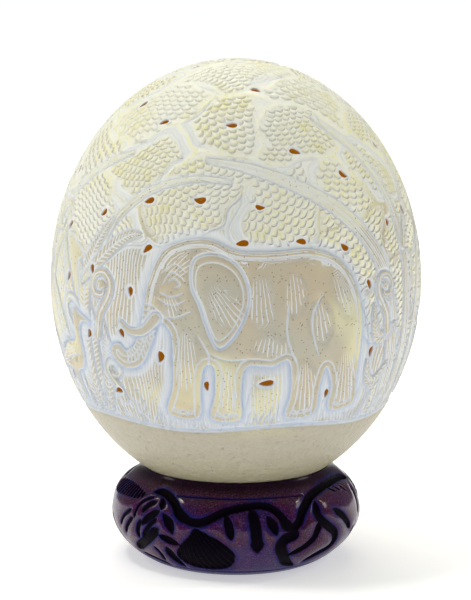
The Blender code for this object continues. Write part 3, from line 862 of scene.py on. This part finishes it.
def giveAttribute(mesh, name, values):
    made = mesh.attributes.new(name, "FLOAT", "POINT")
    made.data.foreach_set("value", np.ascontiguousarray(values, np.float32))


def makeEgg():
    cutter = makeHoleCutter()
    bpy.ops.mesh.primitive_ico_sphere_add(subdivisions=egg["liningSteps"], radius=1)
    lining = bpy.context.object
    ways = unitWays(takePoints(lining.data))
    givePoints(lining.data, onEgg(ways, np.full(len(ways), -egg["wall"])))
    bpy.ops.object.mode_set(mode="EDIT")
    bpy.ops.mesh.select_all(action="SELECT")
    bpy.ops.mesh.flip_normals()
    bpy.ops.object.mode_set(mode="OBJECT")
    bpy.ops.mesh.primitive_ico_sphere_add(subdivisions=egg["ballSteps"], radius=1)
    shell = bpy.context.object
    ways = unitWays(takePoints(shell.data))
    givePoints(shell.data, onEgg(ways, sampleSheet(relief, ways)))
    joinInto(shell, [lining])
    applyModifier(shell, "BOOLEAN", operation="DIFFERENCE", solver="MANIFOLD", object=cutter)
    bpy.data.objects.remove(cutter)
    triangles = sum(len(p.vertices) - 2 for p in shell.data.polygons)
    applyModifier(shell, "DECIMATE", ratio=egg["keptTriangles"] / triangles)
    mesh = shell.data
    middle = takePoints(mesh) / millimetre - (0, 0, eggHeight)
    far = np.linalg.norm(middle, axis=1)
    ways = middle / far[:, None]
    cut = sampleSheet(relief, ways)
    below = eggReach(np.arcsin(np.clip(ways[:, 2], -1, 1))) - egg["inset"] - far
    giveAttribute(mesh, "inward", np.clip((below + cut) / (egg["wall"] + cut), 0, 1))
    for name, values in (("cutDepth", depth), ("strokeTurns", strokeTurns), ("strokeShare", strokeShare),
                         ("scoopAcross", scoopAcross), ("scoopUp", scoopUp), ("scoopShare", scoopShare)):
        giveAttribute(mesh, name, sampleSheet(values, ways))
    bpy.ops.object.shade_smooth_by_angle(angle=math.radians(egg["sharpAngle"]))
    shell.name = mesh.name = "carvedShell"
    print("egg:", len(mesh.polygons), "faces")
    return shell


shell = makeEgg()


def pulled(ends, count):           # a curve with two end points and two pulling points
    t = np.linspace(0, 1, count)[:, None]
    a, b, c, d = (np.array(end, float) for end in ends)
    return a * (1 - t) ** 3 + 3 * b * t * (1 - t) ** 2 + 3 * c * t * t * (1 - t) + d * t ** 3


def ringSide(count):               # radius and height from the rim down to the foot
    nearRim, nearRimHeight, overBulge = ring["shoulderPull"]
    underBulge, nearFoot, nearFootHeight = ring["bellyPull"]
    rim, foot = (ring["rimRadius"], ring["rimHeight"]), (ring["footRadius"], 0)
    bulge = (ring["bulgeRadius"], ring["bulgeHeight"])
    shoulder = pulled((rim, (nearRim, nearRimHeight), (bulge[0], overBulge), bulge), count)
    belly = pulled((bulge, (bulge[0], underBulge), (nearFoot, nearFootHeight), foot), count)
    return np.vstack([shoulder, belly[1:]])


ringCarving = {
    "repeats": 2,
    "roundRadius": 40.0,           # where the carving is drawn
    "columns": 720,
    "rows": 400,
    # degrees round, share of the way down the side; width and depth of the cut
    "gouges": (
        # the vine
        (((-47, 0.154), (-42, 0.137), (-36, 0.171), (-31, 0.229), (-28, 0.29), (-24, 0.338), (-19, 0.362),
          (-14, 0.344), (-6, 0.266), (0, 0.234), (6, 0.215), (12, 0.21), (16, 0.227), (19, 0.266),
          (22, 0.332), (24, 0.391), (27, 0.412), (30, 0.378), (32, 0.317), (36, 0.244), (42, 0.174),
          (51, 0.132), (60, 0.114), (70, 0.11), (80, 0.13), (88, 0.18)), 2.7, 1.5),
        (((-31, 0.229), (-28, 0.29), (-24, 0.338), (-19, 0.362)), 3.4, 1.5),
        (((21, 0.31), (24, 0.391), (27, 0.412)), 3.8, 1.5),
        # the drops that hang from it
        (((-4.5, 0.29), (-3, 0.39), (-2, 0.48)), 2.7, 1.3), (((7.5, 0.24), (9, 0.4), (10, 0.6)), 3.3, 1.5),
        (((9.5, 0.46), (10, 0.6)), 4.2, 1.4), (((15, 0.31), (17, 0.38), (18.5, 0.45)), 3.4, 1.4),
        # the bent leaves on the right
        (((27, 0.412), (27, 0.474), (23, 0.503), (21, 0.562), (23, 0.653), (27, 0.769),
          (34, 0.86)), 3.6, 1.5),
        (((42, 0.24), (41, 0.329), (43, 0.395), (47, 0.457), (52, 0.528), (54, 0.613), (52, 0.677),
          (45, 0.728), (39, 0.80)), 2.9, 1.4),
        (((42, 0.40), (40, 0.474), (38, 0.536), (33, 0.608), (26, 0.665)), 2.4, 1.3),
        (((52, 0.33), (58, 0.405), (62, 0.469), (67, 0.55)), 2.4, 1.3),
        (((72, 0.56), (74, 0.648), (72, 0.737), (66, 0.81)), 2.4, 1.3),
        (((80, 0.24), (79, 0.34), (79, 0.47)), 1.7, 1.1), (((86, 0.30), (90, 0.40), (97, 0.46)), 2.4, 1.2),
        (((78, 0.62), (85, 0.70), (94, 0.74)), 2.4, 1.2), (((57, 0.15), (61, 0.21)), 1.3, 0.8),
        (((62.5, 0.155), (66, 0.225)), 1.3, 0.8), (((68, 0.165), (71, 0.25)), 1.3, 0.8),
        # the fern on the left
        (((-54, 0.41), (-53, 0.32), (-50, 0.25), (-45, 0.20)), 1.3, 0.9),
        (((-49, 0.35), (-46, 0.28), (-42, 0.23)), 1.9, 1.1),
        (((-51, 0.57), (-51, 0.497), (-49, 0.41)), 2.0, 1.1),
        (((-48, 0.44), (-43, 0.359), (-38.5, 0.31)), 2.5, 1.3),
        (((-48, 0.555), (-44, 0.457), (-39, 0.37)), 1.6, 1.0),
        (((-59, 0.72), (-45, 0.562), (-38, 0.45)), 3.0, 1.5),
        (((-35.5, 0.33), (-32, 0.39), (-30, 0.46)), 3.6, 1.4),
        (((-37, 0.505), (-32, 0.531), (-27, 0.555)), 2.9, 1.3),
        (((-63, 0.57), (-59, 0.482), (-55, 0.41)), 1.5, 1.0),
        (((-67, 0.52), (-63, 0.43), (-57, 0.35)), 1.4, 0.9),
        (((-82, 0.48), (-77, 0.593), (-70, 0.68)), 1.8, 1.1),
        (((-57, 0.77), (-48, 0.808), (-41, 0.88)), 2.4, 1.2),
        (((-34, 0.61), (-33, 0.70), (-30, 0.85)), 3.4, 1.5),
        (((-39.5, 0.2), (-38, 0.249), (-37.5, 0.29)), 2.6, 1.2),
        (((-42, 0.62), (-40, 0.70), (-41, 0.79)), 1.6, 0.9),
        # the line round the shoulder
        (((-33, 0.152), (-17, 0.143), (1, 0.145), (19, 0.145), (38, 0.160)), 0.9, 0.5),
    ),
    # ribbed leaves: outline, where the ribs fan out from, their pitch, depth between and on them
    "leaves": (
        (((-19, 0.398), (-13, 0.438), (-7, 0.492), (-3, 0.549), (0, 0.632), (-1, 0.742), (-5, 0.83),
          (-14, 0.868), (-23, 0.845), (-28, 0.772), (-30, 0.672), (-27, 0.567), (-22, 0.472)),
         (-25, 0.22), 1.75, 1.25, 0.6),
        (((-94, 0.30), (-90, 0.20), (-78, 0.15), (-64, 0.14), (-51, 0.19), (-55, 0.26), (-68, 0.285),
          (-82, 0.31)), (-60, -0.35), 2.0, 0.9, 0.25),
    ),
    # beside a cut the wood sinks too: by this share of the cut's depth, this far from it
    "shoulder": (0.26, 1.5),
    "footLine": 0.885,             # the thin line cut round the foot
    "footLineWidth": 0.9,
    "footLineDepth": 0.35,
}


def carveRing(down):               # one repeat of the ring's own sheet of depths, this long down the side
    width = 2 * math.pi * ringCarving["roundRadius"] / ringCarving["repeats"]
    x, y = np.meshgrid((np.arange(ringCarving["columns"]) + 0.5) / ringCarving["columns"] * width,
                       np.linspace(0, down, ringCarving["rows"]))
    relief = np.zeros(x.shape)
    middle = width / 2

    def lay(points):                   # millimetres on the sheet
        degrees, share = np.array(points, float).T
        return np.stack([np.radians(degrees) * ringCarving["roundRadius"] + middle, share * down], -1)

    sink, reach = ringCarving["shoulder"]

    def groove(line, wide, deep):
        away, _, along = nearLine(x, y, line, wide / 2 + 3 * reach)
        taper = min(0.5, 1.1 * wide / np.hypot(*np.diff(line, axis=0).T).sum())
        thick = wide / 2 * np.sqrt(np.clip(np.minimum(along, 1 - along) / taper, 0.06, 1))
        share = np.sqrt(np.clip(1 - (away / thick) ** 2, 0, 1))
        beside = sink * deep * np.exp(-(np.maximum(away - thick, 0) / reach) ** 2)
        relief[:] = np.minimum(relief, -beside - (1 - sink) * deep * share * np.sqrt(thick / wide * 2))

    def ribbedLeaf(line, pivot, pitch, deep, onRib):
        away = nearLine(x, y, line, 3 * reach, closed=True)[0]
        far = np.hypot(*(line.mean(0) - pivot))
        turns = np.arctan2(x - pivot[0], y - pivot[1]) * far / pitch + 0.1 * np.sin((y - pivot[1]) / 3)
        rib = (0.5 + 0.5 * np.cos(2 * math.pi * turns)) ** 2
        dip = -(deep + (onRib - deep) * rib) * easeIn(away, 0, 0.7)
        beside = -sink * deep * np.exp(-(away / reach) ** 2)
        relief[:] = np.minimum(relief, np.where(isInside(x, y, line), np.minimum(dip, beside), beside))

    for shift in (-width, 0, width):
        for points, wide, deep in ringCarving["gouges"]:
            groove(smoothLine(lay(points), 5) + (shift, 0), wide, deep)
        for points, pivot, pitch, deep, onRib in ringCarving["leaves"]:
            ribbedLeaf(smoothLine(lay(points), 3, closed=True) + (shift, 0), lay([pivot])[0] + (shift, 0),
                       pitch, deep, onRib)
    fromFoot = (y - ringCarving["footLine"] * down) / ringCarving["footLineWidth"] * 2
    relief[:] = np.minimum(relief, -ringCarving["footLineDepth"] * np.exp(-fromFoot ** 2))
    return relief * easeIn(y, 0.2, 1.2) * easeIn(down - y, 0.1, 0.8)


def makeRing():
    side = ringSide(100)
    down = np.concatenate([[0], np.cumsum(np.hypot(*np.diff(side, axis=0).T))])
    sideLength = down[-1]
    relief = carveRing(sideLength)
    places = np.linspace(0, sideLength, ring["sidePoints"])
    outer = np.stack([np.interp(places, down, side[:, 0]), np.interp(places, down, side[:, 1])], -1)
    holeAngle = undersideAngle(ring["centreHoleRadius"])
    angles = np.linspace(holeAngle, seatAngle, ring["dishPoints"])
    dish = np.stack(eggSide(angles, ring["seatGap"]), -1) + (0, eggHeight)
    hole = ring["centreHoleRadius"]
    under = [(far, 0) for far in ring["underside"]] + [(hole, ring["holeEdge"]), (hole, dish[0, 1] / 2)]
    profile = np.vstack([outer, under, dish[:-1]])
    bpy.ops.object.select_all(action="DESELECT")
    bpy.ops.mesh.primitive_circle_add(vertices=len(profile), radius=1)
    body = bpy.context.object
    givePoints(body.data, np.stack([profile[:, 0], 0 * profile[:, 0], profile[:, 1]], -1) * millimetre)
    bpy.ops.object.mode_set(mode="EDIT")
    bpy.ops.mesh.select_all(action="SELECT")
    bpy.ops.mesh.spin(steps=ring["turns"], angle=2 * math.pi, center=(0, 0, 0), axis=(0, 0, 1))
    bpy.ops.mesh.select_all(action="SELECT")
    bpy.ops.mesh.remove_doubles(threshold=1e-6)
    bpy.ops.mesh.normals_make_consistent(inside=False)
    bpy.ops.object.mode_set(mode="OBJECT")
    mesh = body.data
    points = takePoints(mesh) / millimetre
    radius, turn = np.hypot(points[:, 0], points[:, 1]), np.arctan2(points[:, 0], -points[:, 1])
    # only the outer side is carved: find how far down it each point is
    gaps = np.hypot(radius[:, None] - outer[None, :, 0], points[:, 2:3] - outer[None, :, 1])
    nearest = gaps.argmin(1)
    onSide = gaps[np.arange(len(gaps)), nearest] < 1e-3
    column = ((turn / (2 * math.pi) * ringCarving["repeats"] + 0.5) % 1) * ringCarving["columns"] - 0.5
    row = places[nearest] / sideLength * (ringCarving["rows"] - 1)
    cut = sample(relief, row, column) * onSide
    slope = np.gradient(outer, axis=0)
    slope /= np.linalg.norm(slope, axis=1)[:, None]
    outRadius, outHeight = -slope[nearest, 1], slope[nearest, 0]
    newRadius = radius + (cut - ring["inset"] * onSide) * outRadius * onSide
    points[:, 0], points[:, 1] = np.sin(turn) * newRadius, -np.cos(turn) * newRadius
    points[:, 2] = np.maximum(points[:, 2] + cut * outHeight, 0)
    givePoints(mesh, points * millimetre)
    giveAttribute(mesh, "cutDepth", cut)
    bpy.ops.object.shade_smooth_by_angle(angle=math.radians(ring["sharpAngle"]))
    body.name = mesh.name = "carvedRing"
    print("ring:", len(mesh.polygons), "faces")
    return body


body = makeRing()


class Wire:                        # one socket, so that shader maths reads as plain sums
    def __init__(self, finish, socket):
        self.finish, self.socket = finish, socket

    def maths(self, operation, *values):
        return self.finish.maths(operation, *values)

    def __add__(self, other):
        return self.maths("ADD", self, other)

    def __sub__(self, other):
        return self.maths("SUBTRACT", self, other)

    def __neg__(self):
        return self.maths("MULTIPLY", self, -1)

    def __rsub__(self, other):
        return self.maths("SUBTRACT", other, self)

    def __mul__(self, other):
        return self.maths("MULTIPLY", self, other)

    __radd__, __rmul__ = __add__, __mul__


class Finish:
    def __init__(self, name):
        self.material = bpy.data.materials.new(name)
        self.material.use_nodes = True
        self.tree = self.material.node_tree
        self.shader = self.tree.nodes["Principled BSDF"]
        self.place = self.node("ShaderNodeTexCoord", {}, {}, "Object")
        self.height = self.node("ShaderNodeSeparateXYZ", {}, {0: self.place}, "Z")

    def node(self, kind, settings, values, output=0):
        made = self.tree.nodes.new(kind)
        for name, value in settings.items():
            setattr(made, name, value)
        for name, value in values.items():
            if isinstance(value, Wire):
                self.tree.links.new(value.socket, made.inputs[name])
            else:
                made.inputs[name].default_value = value
        return Wire(self, made.outputs[output])

    def maths(self, operation, *values):
        return self.node("ShaderNodeMath", {"operation": operation}, dict(enumerate(values)))

    def ramp(self, value, low, high, fromShade=0.0, toShade=1.0):
        return self.node("ShaderNodeMapRange", {"interpolation_type": "SMOOTHSTEP"},
                         {"Value": value, "From Min": low, "From Max": high,
                          "To Min": fromShade, "To Max": toShade})

    def mix(self, share, first, second):
        return self.node("ShaderNodeMix", {"data_type": "RGBA"}, {0: share, 6: first, 7: second}, 2)

    def noise(self, scale, detail=2.0, stretch=(1, 1, 1)):
        where = self.node("ShaderNodeVectorMath", {"operation": "MULTIPLY"}, {0: self.place, 1: stretch})
        return self.node("ShaderNodeTexNoise", {}, {"Vector": where, "Scale": scale, "Detail": detail})

    def cells(self, scale):        # how far the middle of the nearest cell is
        return self.node("ShaderNodeTexVoronoi", {}, {"Vector": self.place, "Scale": scale})

    def read(self, name):
        return self.node("ShaderNodeAttribute", {"attribute_name": name}, {}, "Fac")

    def bump(self, height, strength, distance):
        return self.node("ShaderNodeBump", {}, {"Height": height, "Strength": strength, "Distance": distance})

    def set(self, **values):
        for name, value in values.items():
            socket = self.shader.inputs[name.replace("_", " ")]
            if isinstance(value, Wire):
                self.tree.links.new(value.socket, socket)
            else:
                socket.default_value = value

    def give(self, piece):
        piece.data.materials.clear()
        piece.data.materials.append(self.material)


eggFinish = {
    "cream": (0.89, 0.87, 0.66, 1),
    "butter": (0.86, 0.83, 0.48, 1),
    "milk": (0.89, 0.89, 0.79, 1),
    "tan": (0.56, 0.48, 0.34, 1),
    "grey": (0.51, 0.48, 0.38, 1),
    "bandShade": (0.46, 0.42, 0.33, 1),         # painted shade on the plain band below the carving
    # painted reflection of the stand, with painted shade, low on the egg; also the tint of the pits
    "pitOliveAndStandReflection": (0.42, 0.38, 0.22, 1),
    "chalk": (0.84, 0.85, 0.79, 1),
    # painted shade: deep cut shell is bluish grey
    "hollow": (0.75, 0.78, 0.79, 1),
    "shadedLowChalk": (0.65, 0.68, 0.72, 1),     # painted shade: cut shell lower down is bluer and darker, away from the top light
    "shadedLowHollow": (0.49, 0.57, 0.71, 1),
    "line": (0.82, 0.84, 0.83, 1),
    # painted shade: fine lines lower down are bluer
    "shadedLowLine": (0.74, 0.77, 0.82, 1),
    # painted highlight on a scoop's lower lip
    "lip": (0.92, 0.92, 0.85, 1),
    "shade": (0.66, 0.65, 0.68, 1),        # painted shadow, deep in a scoop
    "pore": (0.22, 0.13, 0.05, 1),
    "amber": (0.08, 0.028, 0.001, 1),
    # painted light: the lining glows as if lit through the shell
    "glow": (0.235, 0.078, 0.002, 1),
    # heights between which one look turns into the next
    "crownHeights": (0.115, 0.145),
    "topLightHeights": (0.085, 0.14),
    "bandHeights": (0.062, 0.050),
    "standReflectionHeights": (0.050, 0.026),
    "poreHeights": (0.050, 0.075),         # more pores above, until they thin out again
    "topHeights": (0.13, 0.15),
    # cells of noise in a metre
    "cloud": 45,
    "patch": 26,
    "crownPatch": 32,
    "crownFleck": 240,
    "mottle": 620,
    "wave": 270,
    "grain": 900,
    "dust": 2600,
    "strokeWobble": 220,
    "strokeBreaks": 160,
    "poreCells": 760,
    "pitCells": 330,
}


def finishEgg(piece):
    finish = Finish("carved eggshell")
    cut, inward, z = -finish.read("cutDepth"), finish.read("inward"), finish.height
    fine, mottled = finish.noise(eggFinish["grain"], 3), finish.noise(eggFinish["mottle"], 3)
    bare = finish.ramp(cut + (fine - 0.5) * 0.05, 0.05, 0.24)

    def shades(share, first, second):
        return finish.mix(share, eggFinish[first], eggFinish[second])

    # the skin: cream to beige, darker low down
    patches = finish.ramp(finish.noise(eggFinish["patch"]), 0.48, 0.62) * 0.55
    skin = shades(finish.ramp(finish.noise(eggFinish["cloud"]), 0.35, 0.65), "tan", "grey")
    skin = finish.mix(patches, skin, eggFinish["butter"])
    patches = finish.ramp(finish.noise(eggFinish["crownPatch"]), 0.42, 0.60) * 0.75
    crownSkin = shades(finish.ramp(finish.noise(eggFinish["crownFleck"]), 0.45, 0.65), "cream", "butter")
    crownSkin = finish.mix(patches, crownSkin, eggFinish["milk"])
    inLeaves = finish.read("scoopShare")
    inCrown = finish.maths("MAXIMUM", finish.ramp(z, *eggFinish["crownHeights"]), inLeaves * 0.9)
    skin = finish.mix(inCrown, skin, crownSkin)
    # the plain band: painted shade, mottled and pitted
    low = finish.ramp(z, *eggFinish["bandHeights"])
    skin = finish.mix(low, skin, eggFinish["bandShade"])
    # painted reflection of the stand and painted shade on the lowest part of the egg
    skin = finish.mix(finish.ramp(z, *eggFinish["standReflectionHeights"]), skin, eggFinish["pitOliveAndStandReflection"])
    skin = finish.mix(finish.ramp(mottled, 0.42, 0.60) * low * 0.35, skin, eggFinish["grey"])
    pits = finish.ramp(finish.cells(eggFinish["pitCells"]), 0.22, 0.05) * low
    skin = finish.mix(pits * 0.25, skin, eggFinish["pitOliveAndStandReflection"])
    # pores
    pores = finish.ramp(finish.cells(eggFinish["poreCells"]), 0.20, 0.10) * (1 - bare)
    pores = pores * finish.ramp(inward, 0.1, 0.02) * (1 - inLeaves)
    pores = pores * finish.ramp(z, *eggFinish["poreHeights"], 0.35, 0.85)
    pores = pores * finish.ramp(z, *eggFinish["topHeights"], 1, 0.3)
    # fine strokes in the skin
    turns = finish.read("strokeTurns") + (finish.noise(eggFinish["strokeWobble"]) - 0.5) * 0.5
    wave = finish.maths("COSINE", turns * (2 * math.pi))
    uneven = (finish.noise(eggFinish["strokeBreaks"], 2, (1, 1, 0.4)) - 0.5) * 0.9
    share = finish.read("strokeShare")
    stroke = finish.ramp(wave + share + uneven * finish.ramp(share, 0, 0.3), 0.98, 1.22)
    # the scoops of the leaves: a painted shadow above each lower lip, and a painted highlight on the white
    # lip
    up = finish.read("scoopUp")
    row = finish.maths("FLOOR", up)
    side = finish.maths("FRACT", finish.read("scoopAcross") + row * 0.5) * 2 - 1
    above = up - row - crown["lip"][0] - side * side * crown["lip"][1]
    scooped = finish.ramp(finish.maths("ABSOLUTE", side), 0.98, 0.75) * inLeaves
    hollow = finish.ramp(above, 0.0, 0.07) * finish.ramp(above, 0.55, 0.05) * scooped
    lip = finish.ramp(above, -0.24, -0.12) * finish.ramp(above, 0.05, -0.01) * scooped
    # cut shell: chalk white, with painted shade that makes it bluish where it is deep and bluer lower down
    high, deep = finish.ramp(z, *eggFinish["topLightHeights"]), finish.ramp(cut, 0.38, 0.95)
    chalk = finish.mix(high, shades(deep, "shadedLowChalk", "shadedLowHollow"), shades(deep, "chalk", "hollow"))
    colour = finish.mix(bare, skin, chalk)
    colour = finish.mix(stroke * 0.9, colour, shades(high, "shadedLowLine", "line"))
    colour = finish.mix(hollow * 0.7, colour, eggFinish["shade"])
    colour = finish.mix(lip * 0.95, colour, eggFinish["lip"])
    colour = finish.mix(pores, colour, eggFinish["pore"])
    # the lining: amber, with a painted glow for the light that comes through the shell
    inner = finish.ramp(inward, 0.22, 0.42)
    colour = finish.mix(inner, colour, eggFinish["amber"])
    height = fine * 0.15 + finish.noise(eggFinish["dust"]) * 0.1
    height = height + (mottled + finish.noise(eggFinish["wave"])) * (low * 0.9 + 0.1) * 3.5
    height = height - stroke - pores * 0.8 - hollow * 1.5 + lip * 0.8 - pits * 2
    finish.set(Base_Color=colour, Roughness=finish.ramp(bare, 0, 1, 0.42, 0.72),
               Normal=finish.bump(height, 0.6, 0.0003),
               Emission_Color=finish.mix(inner, (0, 0, 0, 1), eggFinish["glow"]),
               Emission_Strength=1.0, Specular_IOR_Level=0.35)
    finish.give(piece)


woodFinish = {
    "plum": (0.046, 0.003, 0.052, 1),
    "wine": (0.040, 0.003, 0.016, 1),
    "violet": (0.018, 0.007, 0.086, 1),
    "speck": (0.130, 0.020, 0.130, 1),
    "cut": (0.002, 0.001, 0.003, 1),
    "blue": (0.006, 0.010, 0.110, 1),
    "sheen": (0.75, 0.50, 1.0, 1),
    # heights between which one look turns into the next
    "shoulderHeights": (0.022, 0.031),
    "blueHeights": (0.0060, 0.0022),
    "seatShadowHeights": (0.0285, 0.0315),        # painted shadow under the egg
    "dullHeights": (0.002, 0.010),         # and less shine by the foot
    # cells of noise in a metre
    "grain": 160,
    "dust": 1500,
    "patch": 75,
    "speckle": 2000,
    "edge": 110,
}


def finishRing(piece):
    finish = Finish("dark polished wood")
    cut, z = -finish.read("cutDepth"), finish.height
    grain = finish.noise(woodFinish["grain"], 4, (1, 1, 5))
    fine = finish.noise(woodFinish["dust"], 3)
    wood = finish.mix(finish.ramp(grain, 0.38, 0.62), woodFinish["plum"], woodFinish["wine"])
    patches = finish.ramp(finish.noise(woodFinish["patch"]), 0.46, 0.64) * 0.8
    wood = finish.mix(patches, wood, woodFinish["violet"])
    wood = finish.mix(finish.ramp(z, *woodFinish["shoulderHeights"]) * 0.8, wood, woodFinish["wine"])
    wood = finish.mix(finish.ramp(z, *woodFinish["blueHeights"]), wood, woodFinish["blue"])
    speckle = finish.noise(woodFinish["speckle"], 1)
    wood = finish.mix(finish.ramp(speckle, 0.52, 0.70) * 0.8, wood, woodFinish["speck"])
    wood = finish.mix(finish.ramp(speckle, 0.48, 0.32) * 0.6, wood, woodFinish["cut"])
    # painted shadow: the wood is darkened just under the egg
    seatShadow = finish.ramp(z, *woodFinish["seatShadowHeights"])
    wood = finish.mix(seatShadow * 0.75, wood, woodFinish["cut"])
    hollow = finish.ramp(cut, 0.32, 0.55)
    uneven = finish.ramp(finish.noise(woodFinish["edge"], 1), 0.35, 0.60, 0.25, 0.95)
    wood = finish.mix(finish.ramp(cut, 0.12, 0.40) * uneven, wood, woodFinish["blue"])
    colour = finish.mix(hollow, wood, woodFinish["cut"])
    shine = finish.ramp(cut, 0.1, 0.5, 0.6, 0) * finish.ramp(z, *reversed(woodFinish["seatShadowHeights"]), 0.3, 1)
    shine = shine * finish.ramp(z, *woodFinish["dullHeights"], 0.25, 1)
    finish.set(Base_Color=colour, Roughness=finish.ramp(hollow, 0, 1, 0.32, 0.6) + (fine - 0.5) * 0.12,
               Normal=finish.bump(grain * 0.5 + fine * 0.5, 0.35, 0.0003), Specular_Tint=woodFinish["sheen"],
               Specular_IOR_Level=0.05, Coat_Roughness=0.12, Coat_Weight=shine)
    finish.give(piece)


finishEgg(shell)
finishRing(body)
for piece, node, slot in ((shell, "egg_shell", "eggshell"), (body, "ring_stand", "dark_wood")):
    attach(piece, "root")
    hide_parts(node)
print("finishes applied")

studio = {
    "floorSize": 9.0,
    "floor": (0.86, 0.86, 0.87, 1),
    "floorGlow": (0.47, 0.80),      # by the object, and further out; the lower glow by the object is a painted soft shadow round it
    "glowReach": (0.07, 0.26),
    "world": (0.90, 0.95, 1.0, 1),
    "worldSeen": 1.0,
    "worldLight": 0.24,
    "lampAim": (0, 0, 0.08),
    # place, size, watts, colour
    "lamps": (
        ((-0.32, -0.22, 1.0), 0.22, 3.3, (1.0, 0.99, 0.97)),
        ((-0.85, 0.05, 0.48), 0.26, 0.9, (1.0, 0.96, 0.84)),
        ((0.85, 0.05, 0.48), 0.26, 1.0, (1.0, 0.96, 0.84)),
        ((-0.76, 0.08, 0.72), 0.13, 0.8, (1.0, 0.95, 0.74)),
        ((0.76, 0.08, 0.72), 0.13, 0.8, (1.0, 0.95, 0.74)),
        ((0.0, 0.50, 1.0), 0.8, 4.8, (1.0, 0.97, 0.82)),
        ((0.1, -1.10, 0.45), 0.5, 0.3, (0.82, 0.90, 1.0)),
    ),
}


def lightScene():
    bpy.ops.object.select_all(action="DESELECT")
    bpy.ops.mesh.primitive_plane_add(size=studio["floorSize"])
    floor = bpy.context.object
    floor.name = "floor"
    finish = Finish("pale floor")
    far = finish.node("ShaderNodeVectorMath", {"operation": "LENGTH"}, {0: finish.place}, "Value")
    near, out = ((glow, glow, glow, 1) for glow in studio["floorGlow"])
    finish.set(Base_Color=studio["floor"], Roughness=0.9, Specular_IOR_Level=0.1, Emission_Strength=1.0,
               Emission_Color=finish.mix(finish.ramp(far, *studio["glowReach"]), near, out))
    finish.give(floor)
    for spot, size, watts, colour in studio["lamps"]:
        aim = Vector(studio["lampAim"]) - Vector(spot)
        bpy.ops.object.light_add(type="AREA", location=spot, rotation=aim.to_track_quat("-Z", "Y").to_euler())
        lamp = bpy.context.object.data
        lamp.shape, lamp.size, lamp.energy, lamp.color = "DISK", size, watts, colour
    world = bpy.data.worlds.new("studio")
    world.use_nodes = True
    back = world.node_tree.nodes["Background"]
    back.inputs["Color"].default_value = studio["world"]
    seen = world.node_tree.nodes.new("ShaderNodeLightPath")
    level = world.node_tree.nodes.new("ShaderNodeMapRange")
    level.inputs["To Min"].default_value = studio["worldLight"]
    level.inputs["To Max"].default_value = studio["worldSeen"]
    world.node_tree.links.new(seen.outputs["Is Camera Ray"], level.inputs["Value"])
    world.node_tree.links.new(level.outputs["Result"], back.inputs["Strength"])
    bpy.context.scene.world = world
    bpy.context.scene.view_settings.view_transform = "Standard"


lightScene()
print("floor and lights set")
